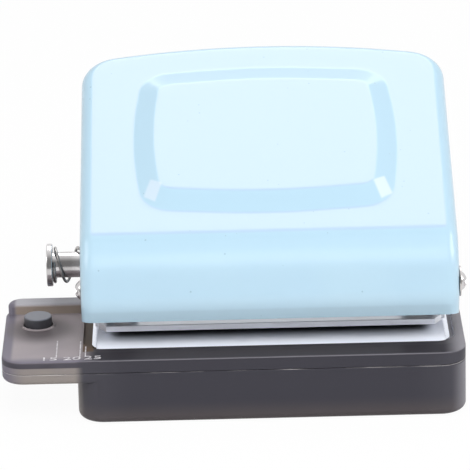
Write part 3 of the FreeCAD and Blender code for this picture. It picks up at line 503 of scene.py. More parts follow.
        # Painted highlight: a light crescent round the front of the button, in the wing's lit tone.
        middle, inner, outer = self.cup_ring
        away = bench.vector("DISTANCE", bench.coordinate(), middle, "Value")
        ring = bench.zone(self.ring_front, bench.ramp(away, *inner), bench.ramp(away, *outer))
        tone = bench.blend(ring, tone, self.thin)
        # The fence's top painted lighter than its front.
        fence = bench.blend(bench.zone(self.fence_top), self.fence, self.ridge)
        return bench.blend(bench.zone(self.fence_rise, off_left), tone, fence)

    def parting_line(self, bench: Bench) -> Socket:
        """Grades the painted highlight along the line between tray and cover, patchy at the front and full at its
        ends.

        Args:
            bench: Bench on the material's tree.

        Returns:
            Share of the line.
        """
        along = bench.vector("MULTIPLY", bench.coordinate(), self.patches)
        noise = bench.node("TexNoise", {"Vector": along, "Scale": 1.0, "Detail": 3.0}).outputs["Fac"]
        patchy = bench.times(bench.ramp(noise, *self.patchy), self.patchy_share)
        ends = bench.math("MAXIMUM", *(bench.zone(end) for end in self.sheen_ends))
        painted_sheen = bench.node("Math", {0: ends, 1: self.sheen_share, 2: patchy}, operation="MULTIPLY_ADD",
                          use_clamp=True).outputs[0]
        facing = bench.math("ABSOLUTE", bench.axes(bench.coordinate("Normal"))[2])
        return bench.zone(self.parting, painted_sheen, bench.ramp(facing, *self.upright))

    def material(self) -> Material:
        """Builds the plastic, graded by place on the moulding.

        Returns:
            The material.
        """
        material, bench, shader = new_material(self.name, self.roughness)
        grain = bench.use(Effect.grain(), Fine=900.0, Slow=70.0).outputs
        top = bench.zone(self.deck)
        on_wing = bench.math("MAXIMUM", bench.zone(self.wing_under), bench.zone(self.wing_deck, top))
        tone = bench.blend(on_wing, self.tray(bench, top), self.wing(bench, top, grain["Cloud"]))
        tone = bench.blend(bench.zone(self.left_well), tone, self.well)
        # Painted light on the right well's wall and floor, which lie in shade.
        wall = bench.blend(bench.zone(self.well_wall), self.clear, self.pale)
        tone = bench.blend(bench.zone(self.right_well), tone, wall)
        tone = bench.blend(bench.zone(self.lit_edge), tone, self.edge)
        # Painted highlight along the parting line.
        tone = bench.blend(self.parting_line(bench), tone, self.wear_and_sheen)
        bench.feed(shader, {"Base Color": tone, "Specular IOR Level": 0.1, "Coat Weight": 0.05,
                            "Coat Roughness": 0.12, "Normal": bench.bump(grain["Height"], 0.05, 0.00008)})
        return material


@dataclass(frozen=True)
class SteelFinish:
    """Plated or ground steel with drawn lines along one direction."""

    name: str
    colour: Colour
    shade: Colour
    roughness: float
    stretch: Point
    relief: float = 0.12
    metallic: float = 1.0
    band_share: float = 0.5
    uneven: Flat = (0.85, 1.2)

    def tone(self, bench: Bench, band: Socket) -> Socket:
        """Mixes the steel's two tones by the bands of its drawn lines."""
        return bench.blend(bench.times(band, self.band_share), self.colour, self.shade)

    def surface(self, bench: Bench, band: Socket) -> dict:
        """Gives the steel its tone, its metallic share and a roughness that varies with the bands.

        Args:
            bench: Bench on the material's tree.
            band: Share of the bands.

        Returns:
            What goes into the shader.
        """
        smooth_share, rough_share = self.uneven
        return {"Base Color": self.tone(bench, band), "Metallic": self.metallic,
                "Roughness": bench.between(band, self.roughness * smooth_share, self.roughness * rough_share)}

    def material(self) -> Material:
        """Builds the steel.

        Returns:
            The material.
        """
        material, bench, shader = new_material(self.name, self.roughness)
        lines = bench.use(Effect.brushing(), Stretch=self.stretch).outputs
        bench.feed(shader, {**self.surface(bench, lines["Band"]),
                            "Normal": bench.bump(lines["Height"], self.relief, 0.00003)})
        return material


@dataclass(frozen=True)
class PlateFinish(SteelFinish):
    """Plated sheet, with painted shade deep in the paper slot, and polished at the die plate's ends."""

    # film is painted shade, not oil: it darkens the die plate and the guide frame's underside deep in the paper
    # slot, where little light reaches.
    film: Colour = tint(34, 35, 40)
    slot: Zone = ((Y, -0.0305, -0.0225), (Y, -0.006, -0.0065), (OUT, 0.0446, 0.0402), (Z, 0.02068, 0.02062),
                  (Z, 0.01745, 0.01795))
    ends: Zone = ((OUT, 0.0464, 0.0470),)
    polished: float = 0.22

    def surface(self, bench: Bench, band: Socket) -> dict:
        """Adds the painted shade in the slot to the tone, and lets the polished ends decide metallic share and
        roughness.

        Args:
            bench: Bench on the material's tree.
            band: Share of the bands.

        Returns:
            What goes into the shader.
        """
        ends = bench.zone(self.ends)
        # Painted shade deep in the paper slot.
        tone = bench.blend(bench.zone(self.slot), self.tone(bench, band), self.film)
        return {"Base Color": tone, "Metallic": ends,
                "Roughness": bench.between(ends, self.roughness, self.polished)}


@dataclass(frozen=True)
class MouldedFinish:
    """Plain moulded plastic, rubber or nylon with a fine matt grain, and a painted sheen above a height."""

    name: str
    colour: Colour
    wear_and_sheen: Colour
    roughness: float
    fine: float = 2200.0
    relief: float = 0.2
    cloud_share: float = 0.2
    # Above this height the colour turns lighter: a painted sheen on the top face.
    sheen_above: float = 1.0
    sheen_edge: float = 0.0002

    def material(self) -> Material:
        """Builds the moulding's finish.

        Returns:
            The material.
        """
        material, bench, shader = new_material(self.name, self.roughness)
        grain = bench.use(Effect.grain(), Fine=self.fine, Slow=200.0).outputs
        # Painted sheen: lighter above a height, on the knob's top.
        painted_sheen = bench.zone(((Z, self.sheen_above - self.sheen_edge, self.sheen_above),))
        share = bench.math("MAXIMUM", bench.times(grain["Cloud"], self.cloud_share), painted_sheen)
        bench.feed(shader, {"Base Color": bench.blend(share, self.colour, self.wear_and_sheen),
                            "Normal": bench.bump(grain["Height"], self.relief, 0.00005)})
        return material


@dataclass(frozen=True)
class InkFinish:
    """White printing ink, thin enough to let the plastic show here and there."""

    name: str = "white_ink"
    colour: Colour = tint(206, 203, 206)
    thin: Colour = tint(164, 160, 164)
    roughness: float = 0.5

    def material(self) -> Material:
        """Builds the ink.

        Returns:
            The material.
        """
        material, bench, shader = new_material(self.name, self.roughness)
        cloud = bench.use(Effect.grain(), Fine=3000.0, Slow=900.0).outputs["Cloud"]
        bench.feed(shader, {"Base Color": bench.blend(cloud, self.colour, self.thin)})
        return material


@dataclass(frozen=True)
class Finishes:
    """Every finish of the punch, made once."""

    paint: Material
    smoke: Material
    satin: Material
    bent: Material
    bright: Material
    wear_and_sheen: Material
    spring: Material
    rubber: Material
    knob: Material
    nylon: Material
    ink: Material

    @classmethod
    def build(cls) -> "Finishes":
        """Builds all finishes.

        Returns:
            The finishes.
        """
        along_x = (40.0, 2600.0, 2600.0)
        round_axis = (1800.0, 120.0, 120.0)
        kinds = {
            "paint": PaintFinish(),
            "smoke": SmokeFinish(),
            "satin": PlateFinish("satin_plated_steel", tint(241, 245, 254), tint(234, 239, 250), 0.45, along_x,
                                 relief=0.08),
            "bent": SteelFinish("bent_plate_steel", tint(248, 249, 254), tint(232, 236, 244), 0.36, along_x,
                                metallic=0.6),
            "bright": SteelFinish("bright_turned_steel", tint(220, 215, 213), tint(180, 173, 169), 0.1,
                                  round_axis, relief=0.03),
            "wear_and_sheen": SteelFinish("rubbed_pin_steel", tint(228, 226, 227), tint(140, 136, 134), 0.18,
                                  round_axis, relief=0.05),
            "spring": SteelFinish("spring_wire_steel", tint(176, 172, 170), tint(120, 116, 114), 0.26,
                                  round_axis, relief=0.08),
            "rubber": MouldedFinish("black_rubber_pad", tint(30, 30, 32), tint(54, 54, 56), 0.8),
            # The knob's lighter top is a painted sheen.
            "knob": MouldedFinish("black_knob_plastic", tint(54, 54, 58), tint(96, 98, 107), 0.38, fine=1800.0,
                                  relief=0.1, sheen_above=0.0209),
            "nylon": MouldedFinish("white_nylon_ring", tint(226, 224, 216), tint(238, 238, 232), 0.5),
            "ink": InkFinish(),
        }
        return cls(**{name: kind.material() for name, kind in kinds.items()})


# ---------------------------------------------------------------- mesh helpers


class MeshWork:
    """Points and faces of one piece, in millimetres, until it becomes an object."""

    def __init__(self) -> None:
        """Starts with no points."""
        self.points: list[Point] = []
        self.faces: list[tuple[int, ...]] = []

    def row(self, points: Sequence[Point]) -> list[int]:
        """Adds a row of points.

        Args:
            points: Points in millimetres.

        Returns:
            Their numbers.
        """
        start = len(self.points)
        self.points.extend(points)
        return list(range(start, start + len(points)))

    def skin(self, rows: Sequence[Sequence[int]], closed: bool = False) -> None:
        """Joins each row to the next one with four-sided faces.

        Args:
            rows: Rows of the same length.
            closed: Joins the rows' ends as well.
        """
        count = len(rows[0])
        for one, two in zip(rows, rows[1:]):
            for i in range(count if closed else count - 1):
                j = (i + 1) % count
                self.faces.append((one[i], one[j], two[j], two[i]))

    def tube(self, rows: Sequence[Sequence[int]]) -> None:
        """Joins closed rows into a tube with a face at each end."""
        self.skin(rows, closed=True)
        self.faces += [tuple(rows[0]), tuple(reversed(rows[-1]))]

    def build(self, name: str) -> Piece:
        """Makes the object.

        Args:
            name: Name of the piece.

        Returns:
            The object, smooth shaded.
        """
        mesh = bpy.data.meshes.new(name)
        mesh.from_pydata([(x * MM, y * MM, z * MM) for x, y, z in self.points], [], self.faces)
        work = bmesh.new()
        work.from_mesh(mesh)
        bmesh.ops.remove_doubles(work, verts=work.verts, dist=WELD * MM)
        bmesh.ops.dissolve_degenerate(work, edges=work.edges, dist=WELD * MM * 0.5)
        bmesh.ops.recalc_face_normals(work, faces=work.faces)
        work.to_mesh(mesh)
        work.free()
        piece = add_object(name, mesh)
        smooth(piece)
        return piece


def add_object(name: str, data: bpy.types.ID) -> Piece:
    """Makes an object of some data and puts it in the scene.

    Args:
        name: Name of the object.
        data: Its mesh, curve, lamp or camera.

    Returns:
        The object.
    """
    made = bpy.data.objects.new(name, data)
    bpy.context.scene.collection.objects.link(made)
    return made


def put(piece: Piece, finish: Material) -> None:
    """Gives a piece one finish.

    Args:
        piece: Piece to dress.
        finish: Its finish.
    """
    if piece.data.materials:
        for place in range(len(piece.data.materials)):
            piece.data.materials[place] = finish
    else:
        piece.data.materials.append(finish)


def smooth(piece: Piece, degrees: float = CRISP_ABOVE) -> None:
    """Shades a piece smooth, with the edges that are sharper than some degrees kept crisp."""
    piece.data.polygons.foreach_set("use_smooth", [True] * len(piece.data.polygons))
    piece.data.set_sharp_from_angle(angle=math.radians(degrees))


def final_mesh(piece: Piece) -> bpy.types.Mesh:
    """Gives a new mesh of a piece as its modifiers or its curve make it."""
    bpy.context.view_layer.update()
    return bpy.data.meshes.new_from_object(piece.evaluated_get(bpy.context.evaluated_depsgraph_get()))


def bake(piece: Piece) -> None:
    """Turns a piece's modifiers into its own mesh.

    Args:
        piece: Piece to bake.
    """
    mesh = final_mesh(piece)
    piece.modifiers.clear()
    piece.data = mesh


def mix(one: Flat, two: Flat, share: float) -> Flat:
    """Gives the point at a share of the way between two points."""
    return one[0] + (two[0] - one[0]) * share, one[1] + (two[1] - one[1]) * share


def distances(path: Sequence[Flat]) -> list[float]:
    """Gives the distance of each point along a path."""
    return list(accumulate(map(math.dist, path, path[1:]), initial=0.0))


def rounded_path(points: Sequence[Flat], radii: Sequence[float], steps: int) -> list[Flat]:
    """Open path of straight runs with tangent arcs at its corners.

    Args:
        points: Ends and corners of the path.
        radii: Radius at each corner.
        steps: Pieces that each arc is divided into.

    Returns:
        Points along the path.
    """
    path = [points[0]]
    for before, corner, after, radius in zip(points, points[1:], points[2:], radii):
        here = Vector(corner)
        back = (Vector(before) - here).normalized()
        ahead = (Vector(after) - here).normalized()
        half = math.acos(max(-1.0, min(1.0, back.dot(ahead)))) / 2
        reach = radius / math.tan(half)
        centre = here + (back + ahead).normalized() * (radius / math.sin(half))
        first = here + back * reach - centre
        turn = first.angle_signed(here + ahead * reach - centre)
        for step in range(steps + 1):
            spun = Vector(first)
            spun.rotate(Matrix.Rotation(-turn * step / steps, 2))
            path.append(tuple(centre + spun))
    path.append(points[-1])
    return path


def spread(path: Sequence[Flat], count: int) -> list[Flat]:
    """Even points along a path.

    Args:
        path: Points of the path.
        count: Number of points wanted.

    Returns:
        The points, the path's two ends among them.
    """
    runs = distances(path)
    result = []
    place = 0
    for step in range(count):
        goal = runs[-1] * step / (count - 1)
        while place < len(runs) - 2 and runs[place + 1] < goal:
            place += 1
        gap = runs[place + 1] - runs[place]
        share = (goal - runs[place]) / gap if gap > 1e-9 else 0.0
        result.append(mix(path[place], path[place + 1], share))
    return result


def normals(path: Sequence[Flat]) -> list[Flat]:
    """Unit normals to the left of a path.

    Args:
        path: Points of the path.

    Returns:
        One normal for each point.
    """
    result = []
    for i in range(len(path)):
        ax, ay = path[max(i - 1, 0)]
        bx, by = path[min(i + 1, len(path) - 1)]
        run = math.hypot(bx - ax, by - ay)
        result.append((-(by - ay) / run, (bx - ax) / run))
    return result


class SubAssembly:
    """Group of the punch's pieces: some that it builds, and CAD nodes that it dresses."""

    def build(self, finishes: Finishes) -> list[Piece]:
        """Builds the group's own pieces, none unless it says otherwise."""
        return []

    def nodes(self, finishes: Finishes) -> Dressing:
        """Gives each CAD node's finish and the width of its rounding in millimetres, 0 for none."""
        return {}

    def dress(self, finishes: Finishes) -> list[Piece]:
        """Builds the own pieces, and welds, rounds and finishes the nodes, whose meshes stay unchanged.

        Args:
            finishes: Finishes of the punch.

        Returns:
            The group's pieces.
        """
        pieces = self.build(finishes)
        for name, (finish, width) in self.nodes(finishes).items():
            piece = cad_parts[name]
            piece.modifiers.new("weld", "WELD").merge_threshold = WELD * MM
            if width:
                bevel = piece.modifiers.new("soft_edges", "BEVEL")
                bevel.width = width * MM
                bevel.segments = ROUNDING_STEPS
                bevel.limit_method = "ANGLE"
                bevel.angle_limit = math.radians(ROUNDED_ABOVE)
                bevel.use_clamp_overlap = True
                bevel.harden_normals = True
            put(piece, finish)
            pieces.append(piece)
        return pieces


@dataclass(frozen=True)
class Coil:
    """Round wire wound about an axis, in the place of a CAD spring that a joint squashes."""

    name: str
    body: Body
    node: str
    joint: str
    travel: float
    fixed_end: Point
    axis: Axis
    start: Point
    radius: float
    wire: float
    length: float
    turns: float
    closed_turns: float = 0.0
    hand: float = 1.0
    sides: int = 10
    per_turn: int = 40

    def rise(self, share: float) -> float:
        """Gives the wire's height at a share of its turns.

        Args:
            share: Share of the whole winding, 0 to 1.

        Returns:
            Height of the wire's middle in millimetres.
        """
        turn = share * self.turns
        flat = self.wire * self.closed_turns
        if turn < self.closed_turns:
            return self.wire + flat * turn / self.closed_turns
        free = self.length - 2 * self.wire - flat
        return self.wire + flat + free * (turn - self.closed_turns) / (self.turns - self.closed_turns)

    def place(self, along: float, angle: float, radius: float) -> Point:
        """Gives a point of the coil in space.

        Args:
            along: Distance along the axis.
            angle: Angle round the axis.
            radius: Distance from the axis.

        Returns:
            The point in millimetres.
        """
        a, b = radius * math.cos(angle), radius * math.sin(angle)
        x, y, z = self.start
        return (x + along, y + b, z + a) if self.axis is Axis.X else (x + a, y + b, z + along)

    def build(self) -> Piece:
        """Builds the wire as a closed tube.

        Returns:
            The coil.
        """
        work = MeshWork()
        steps = int(self.per_turn * self.turns)
        rows = []
        for step in range(steps + 1):
            share = step / steps
            angle = 2 * math.pi * (self.closed_turns + self.hand * share * self.turns)
            along = self.rise(share)
            ring = []
            for side in range(self.sides):
                turn = 2 * math.pi * side / self.sides
                ring.append(self.place(along + self.wire * math.sin(turn), angle,
                                       self.radius + self.wire * math.cos(turn)))
            rows.append(work.row(ring))
        work.tube(rows)
        return work.build(self.name)

    def fit(self, finishes: Finishes) -> Piece:
        """Builds the coil in the place of its CAD node.

        Args:
            finishes: Finishes of the punch.

        Returns:
            The coil.
        """
        piece = self.build()
        put(piece, finishes.spring)
        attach(piece, self.body.value)
        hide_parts(self.node)
        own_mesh(piece)
        return piece


# ---------------------------------------------------------------- the lever


@dataclass
class Lever(SubAssembly):
    """Pressed steel lever: raised panel, rolled edges, curved nose and skirts.

    The sloping top is drawn in its own plane: x across, t back along the slope from the crease, and
    n square to it. The nose and skirts are drawn from the side, in Y and Z.
    """

    half_width: float = 50.5
    sheet: float = 1.0
    slope: float = 22.3
    crease: Flat = (-30.0, 48.56)
    brow: Flat = (-35.456, 42.709)
    nose: Flat = (-38.165, 31.842)
    lip: Flat = (-36.6, 26.6)
    nose_radii: tuple[float, float, float] = (9.0, 14.0, 9.0)
    nose_fade: float = 4.5
    nose_step: float = 1.2
    edge_radius: float = 3.5
    side_t: float = 75.2
    apex_t: float = 84.5
    bow_radius: float = 226.0
    corner_radius: float = 10.8
    join_t: float = 4.0
    skirt_low: Flat = (-31.0, 25.4)
    skirt_turn: Flat = (-8.0, 28.6)
    rear_depth: float = 9.0
    rear_t: float = 90.0
    panel_t: float = 38.75
    panel_corner: Flat = (34.0, 28.8)
    panel_apex: Flat = (37.4, 31.6)
    panel_radii: tuple[float, float, float] = (9.5, 140.0, 180.0)
    bevel: float = 6.5
    bevel_steps: int = 16
    bevel_soft: float = 0.13
    end_share: float = 1.26
    corner_share: float = 0.25
    rise: float = 1.75
    margin_shares: tuple[float, ...] = (0.0, 0.2, 0.4, 0.6, 0.8, 0.93)
    flat_shares: tuple[float, ...] = (0.96, 0.85, 0.65, 0.4, 0.15)
    outline_arc: int = 48
    panel_arc: int = 40
    nose_arc: int = 14
    nose_run: float = 30.0
    crisp_above: float = 40.0
    roll_steps: int = 8
    skirt_rows: int = 6
    side_count: int = 90
    end_count: int = 80
    pivot: Flat = (-31.0, 34.0)
    pivot_hole: float = 2.3
    lock: Flat = (-14.0, 35.14)
    lock_hole: float = 4.5
    cut: Flat = (48.0, 52.0)
    hole_sides: int = 48

    def on_slope(self, x: float, t: float, n: float) -> Point:
        """Turns a point of the sloping top into one in space, in millimetres."""
        sine, cosine = math.sin(math.radians(self.slope)), math.cos(math.radians(self.slope))
        return x, self.crease[0] + t * cosine - n * sine, self.crease[1] + t * sine + n * cosine

    def to_slope(self, y: float, z: float) -> Flat:
        """Turns a point seen from the side into distance along and height square to the slope.

        Args:
            y: Distance back.
            z: Height.

        Returns:
            The distance and the height.
        """
        sine, cosine = math.sin(math.radians(self.slope)), math.cos(math.radians(self.slope))
        dy, dz = y - self.crease[0], z - self.crease[1]
        return dy * cosine + dz * sine, dz * cosine - dy * sine

    def skirt_depth(self, t: float) -> float:
        """Gives the height of the lower edge, square to the slope, at a distance along it.

        Args:
            t: Distance back along the slope.

        Returns:
            The height, below zero.
        """
        low = self.to_slope(*self.skirt_low)
        turn = self.to_slope(*self.skirt_turn)
        rear = (self.rear_t, -self.rear_depth)
        one, two = (low, turn) if t < turn[0] else (turn, rear)
        return mix(one, two, (t - one[0]) / (two[0] - one[0]))[1]

    def outline(self) -> tuple[list[Flat], list[Flat]]:
        """Draws the top's outline from the left front round the rear to the right front.

        Returns:
            Its points and their outward normals.
        """
        half = self.half_width
        corners = [(-half, self.join_t), (-half, self.side_t), (0.0, self.apex_t), (half, self.side_t),
                   (half, self.join_t)]
        path = rounded_path(corners, (self.corner_radius, self.bow_radius, self.corner_radius),
                            self.outline_arc)
        turn = half - self.corner_radius * (1 - math.sqrt(0.5))
        middle = path.index(min(path, key=lambda p: abs(p[0] + turn)))
        left = spread(path[:middle + 1], self.side_count)
        right = [(-x, t) for x, t in reversed(left)]
        rear = spread(path[middle:len(path) - middle], self.end_count)
        whole = left + rear[1:-1] + right
        return whole, normals(whole)

    def panel_loop(self, shrink: float) -> list[Flat]:
        """Draws the panel's outline moved in by a distance, matched point for point to the top's inner edge.

        Args:
            shrink: Distance moved in.

        Returns:
            Closed loop that starts at the left front corner.
        """
        wide, long_ = self.panel_corner
        side, end = self.panel_apex
        corner, bow, cap = self.panel_radii
        corner += self.corner_share * shrink

        def quarter(corners: Sequence[Flat], count: int, radius: float) -> list[Flat]:
            path = rounded_path(corners, (corner, radius, corner), self.panel_arc)
            offset = [(x - nx * shrink, t - nt * shrink * self.end_share)
                      for (x, t), (nx, nt) in zip(path, normals(path))]
            half = 1 + self.panel_arc // 2
            return spread(offset[half:len(offset) - half], count)

        reach, spare = (long_ + end) / 2, (wide + side) / 2
        left = quarter([(-wide / 2, -reach), (-wide, -long_), (-side, 0.0), (-wide, long_), (-wide / 2, reach)],
                       self.side_count, bow)
        rear = quarter([(-spare, long_ / 2), (-wide, long_), (0.0, end), (wide, long_), (spare, long_ / 2)],
                       self.end_count, cap)
        right = [(-x, t) for x, t in reversed(left)]
        front = [(x, -t) for x, t in reversed(rear)]
        loop = left + rear[1:-1] + right + front[1:-1]
        return [(x, self.panel_t + t) for x, t in loop]

    def emboss(self, share: float) -> float:
        """Gives the panel's height at a share of its bevel: a straight slope with softened ends.

        Args:
            share: Share of the bevel, 0 at the outer edge and 1 at the flat.

        Returns:
            Height in millimetres.
        """
        soft = self.bevel_soft
        if share < soft:
            height = share * share / (2 * soft)
        elif share > 1 - soft:
            height = (1 - soft) - (1 - share) ** 2 / (2 * soft)
        else:
            height = share - soft / 2
        return self.rise * height / (1 - soft)

    def roll(self) -> list[Flat]:
        """Gives sine and one less cosine of each step round a rolled edge."""
        angles = [math.pi / 2 * step / self.roll_steps for step in range(1, self.roll_steps + 1)]
        return [(math.sin(angle), 1 - math.cos(angle)) for angle in angles]

    def build_top(self, work: MeshWork) -> None:
        """Builds the sloping top with its panel, rolled edges and walls.

        Args:
            work: Mesh that the faces join.
        """
        def ring(loop: Sequence[Flat], height: float) -> list[int]:
            return work.row([self.on_slope(x, t, height) for x, t in loop])

        edge, out = self.outline()
        inner = [(x - nx * self.edge_radius, t - nt * self.edge_radius) for (x, t), (nx, nt) in zip(edge, out)]
        loop = inner + spread([inner[-1], inner[0]], self.end_count)[1:-1]
        panel = self.panel_loop(0.0)
        rows = [ring([mix(a, b, share) for a, b in zip(loop, panel)], 0.0) for share in self.margin_shares]
        for step in range(self.bevel_steps + 1):
            share = step / self.bevel_steps
            rows.append(ring(self.panel_loop(self.bevel * share), self.emboss(share)))
        flat = self.panel_loop(self.bevel)
        for share in self.flat_shares:
            rows.append(ring([(x * share, self.panel_t + (t - self.panel_t) * share) for x, t in flat], self.rise))
        work.skin(rows, closed=True)
        work.faces.append(tuple(rows[-1]))
        walls = [rows[0][:len(inner)]]
        for reach, drop in self.roll():
            rolled = [(x + nx * self.edge_radius * reach, t + nt * self.edge_radius * reach)
                      for (x, t), (nx, nt) in zip(inner, out)]
            walls.append(ring(rolled, -self.edge_radius * drop))
        for step in range(1, self.skirt_rows + 1):
            share = step / self.skirt_rows
            walls.append(work.row([self.on_slope(x, t, -self.edge_radius + share *
                                                 (self.skirt_depth(t) + self.edge_radius)) for x, t in edge]))
        work.skin(walls)

    def nose_stations(self) -> tuple[list[Flat], list[Flat]]:
        """Draws the nose from the side, from the lip up to the join with the top.

        Returns:
            Its points and their outward normals.
        """
        join = self.on_slope(0.0, self.join_t, 0.0)[1:]
        far = self.on_slope(0.0, self.nose_run, 0.0)[1:]
        path = rounded_path([self.lip, self.nose, self.brow, self.crease, far], self.nose_radii[::-1],
                            self.nose_arc)
        path[-1] = join
        close = []
        for one, two in zip(path, path[1:]):
            parts = max(1, int(math.dist(one, two) / self.nose_step))
            close += [mix(one, two, i / parts) for i in range(parts)]
        close.append(join)
        return close, normals(close)

    def nose_roots(self, path: Sequence[Flat], out: Sequence[Flat]) -> list[Flat]:
        """Finds where the nose's rounded ends meet the skirts, sheared at the lip to run into the lower edge.

        Args:
            path: Nose seen from the side.
            out: Its outward normals.

        Returns:
            One point for each point of the nose.
        """
        lean_y, lean_z = self.skirt_low[0] - self.lip[0], self.skirt_low[1] - self.lip[1]
        lip_y, lip_z = out[0]
        shear = (lean_y * lip_z - lean_z * lip_y) / (lean_y * lip_y + lean_z * lip_z)
        roots = []
        for (y, z), (ny, nz), run in zip(path, out, distances(path)):
            fade = shear * max(0.0, 1 - run / self.nose_fade)
            roots.append((y - self.edge_radius * (lip_z * fade + ny), z + self.edge_radius * (lip_y * fade - nz)))
        return roots

    def build_nose(self, work: MeshWork) -> None:
        """Builds the nose with its rounded ends and the front part of the skirts.

        Args:
            work: Mesh that the faces join.
        """
        path, out = self.nose_stations()
        roots = self.nose_roots(path, out)
        end = self.on_slope(0.0, self.join_t, self.skirt_depth(self.join_t))[1:]
        bottom = spread([roots[0], self.skirt_low, end], len(path))
        flat = self.half_width - self.edge_radius
        across = spread([(-flat, 0.0), (flat, 0.0)], self.end_count)
        rows = []
        for (y, z), root, low in zip(path, roots, bottom):
            half = [(-self.half_width, *mix(root, low, step / self.skirt_rows))
                    for step in range(self.skirt_rows, 0, -1)]
            half += [(-flat - self.edge_radius * reach, *mix((y, z), root, drop))
                     for reach, drop in reversed(self.roll())]
            other = [(-px, py, pz) for px, py, pz in reversed(half)]
            rows.append(work.row(half + [(x, y, z) for x, _ in across] + other))
        work.skin(rows)

    def cut_hole(self, piece: Piece, centre: Flat, radius: float, side: int) -> None:
        """Cuts a round hole through one skirt.

        Args:
            piece: Piece to cut.
            centre: Y and Z of the hole.
            radius: Radius of the hole.
            side: -1 for the left skirt and 1 for the right one.
        """
        work = MeshWork()
        turns = [2 * math.pi * i / self.hole_sides for i in range(self.hole_sides)]
        work.tube([work.row([(x, centre[0] + radius * math.cos(turn), centre[1] + radius * math.sin(turn))
                             for turn in turns]) for x in sorted(side * x for x in self.cut)])
        cutter = work.build("hole_cutter")
        cut = piece.modifiers.new("hole", "BOOLEAN")
        cut.operation = "DIFFERENCE"
        cut.solver = "EXACT"
        cut.object = cutter
        bake(piece)
        bpy.data.objects.remove(cutter)

    def build(self, finishes: Finishes) -> list[Piece]:
        """Builds the lever's shell.

        Args:
            finishes: Finishes of the punch.

        Returns:
            The shell alone.
        """
        work = MeshWork()
        self.build_top(work)
        self.build_nose(work)
        piece = work.build("lever_shell")
        thick = piece.modifiers.new("sheet", "SOLIDIFY")
        thick.thickness = self.sheet * MM
        thick.offset = -1.0
        thick.use_even_offset = True
        thick.use_quality_normals = True
        bake(piece)
        for side in (-1, 1):
            self.cut_hole(piece, self.pivot, self.pivot_hole, side)
        self.cut_hole(piece, self.lock, self.lock_hole, -1)
        smooth(piece, self.crisp_above)
        put(piece, finishes.paint)
        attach(piece, Body.HANDLE.value)
        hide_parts("handle_shell")
        return [piece]

    def nodes(self, finishes: Finishes) -> Dressing:
        """Gives the finish of the bars inside the shell."""
        return {"press_bar": (finishes.bright, 0.0), "stop_rod": (finishes.bright, 0.0)}


# ---------------------------------------------------------------- lock pin and pivot


@dataclass
class LockPin(SubAssembly):
    """Push pin at the left skirt with its coil, snap ring and bush."""

    y: float = -14.0
    z: float = 35.14
    spring_start: float = -58.4
    spring_end: float = -50.7
    radius: float = 4.6
    wire: float = 0.4
    turns: float = 1.85
    closed_turns: float = 0.83
    travel: float = 1.6

    def build(self, finishes: Finishes) -> list[Piece]:
        """Builds the coil between the pin's head and the bush."""
        return [Coil("lock_coil", Body.HANDLE, "lock_spring", "lock_pin_slide", self.travel,
                     (self.spring_end * MM, 0.0, 0.0), Axis.X, (self.spring_start, self.y, self.z), self.radius,
                     self.wire, self.spring_end - self.spring_start, self.turns, self.closed_turns,
                     hand=-1.0).fit(finishes)]

    def nodes(self, finishes: Finishes) -> Dressing:
        """Gives the finish and rounding of the turned parts."""
        bright = finishes.bright
        return {"lock_pin": (finishes.wear_and_sheen, 0.0), "lock_ring": (bright, 0.06), "lock_bush": (bright, 0.08)}


@dataclass
class Pivot(SubAssembly):
    """Lever shaft with its spacers and washer."""

    round_over: float = 0.1

    def nodes(self, finishes: Finishes) -> Dressing:
        """Gives the finish and rounding of the pivot's parts."""
        kinds = {"pivot_shaft": finishes.wear_and_sheen, "pivot_washer": finishes.bright, "pivot_spacers": finishes.nylon}
        return {name: (finish, self.round_over) for name, finish in kinds.items()}


# ---------------------------------------------------------------- steel works


@dataclass
class PunchWorks(SubAssembly):
    """Die plate, depth stop, guide frame, punches and their springs."""

    punch_x: float = 40.0
    punch_y: float = -19.0
    spring_low: float = 25.3
    spring_high: float = 39.5
    spring_radius: float = 3.9
    wire: float = 0.4
    turns: float = 6.5
    stroke: float = 5.4

    def build(self, finishes: Finishes) -> list[Piece]:
        """Builds the punches' return springs.

        Args:
            finishes: Finishes of the punch.

        Returns:
            The left spring and the right one.
        """
        springs = []
        for hand, x in (("left", -self.punch_x), ("right", self.punch_x)):
            coil = Coil(f"return_coil_{hand}", Body.UPPER, f"punch_spring_{hand}", f"punch_{hand}_slide",
                        self.stroke, (0.0, 0.0, self.spring_low * MM), Axis.Z, (x, self.punch_y, self.spring_low),
                        self.spring_radius, self.wire, self.spring_high - self.spring_low, self.turns)
            springs.append(coil.fit(finishes))
        return springs

    def nodes(self, finishes: Finishes) -> Dressing:
        """Gives the finish and rounding of the steel parts."""
        satin, bright = finishes.satin, finishes.bright
        return {"die_plate": (satin, 0.3), "depth_stop": (satin, 0.1), "guide_frame": (finishes.bent, 0.2),
                "frame_rivets": (bright, 0.0), "plate_screws": (bright, 0.08), "punch_guides": (bright, 0.12),
                "punch_left": (bright, 0.06), "punch_right": (bright, 0.06)}


# ---------------------------------------------------------------- base


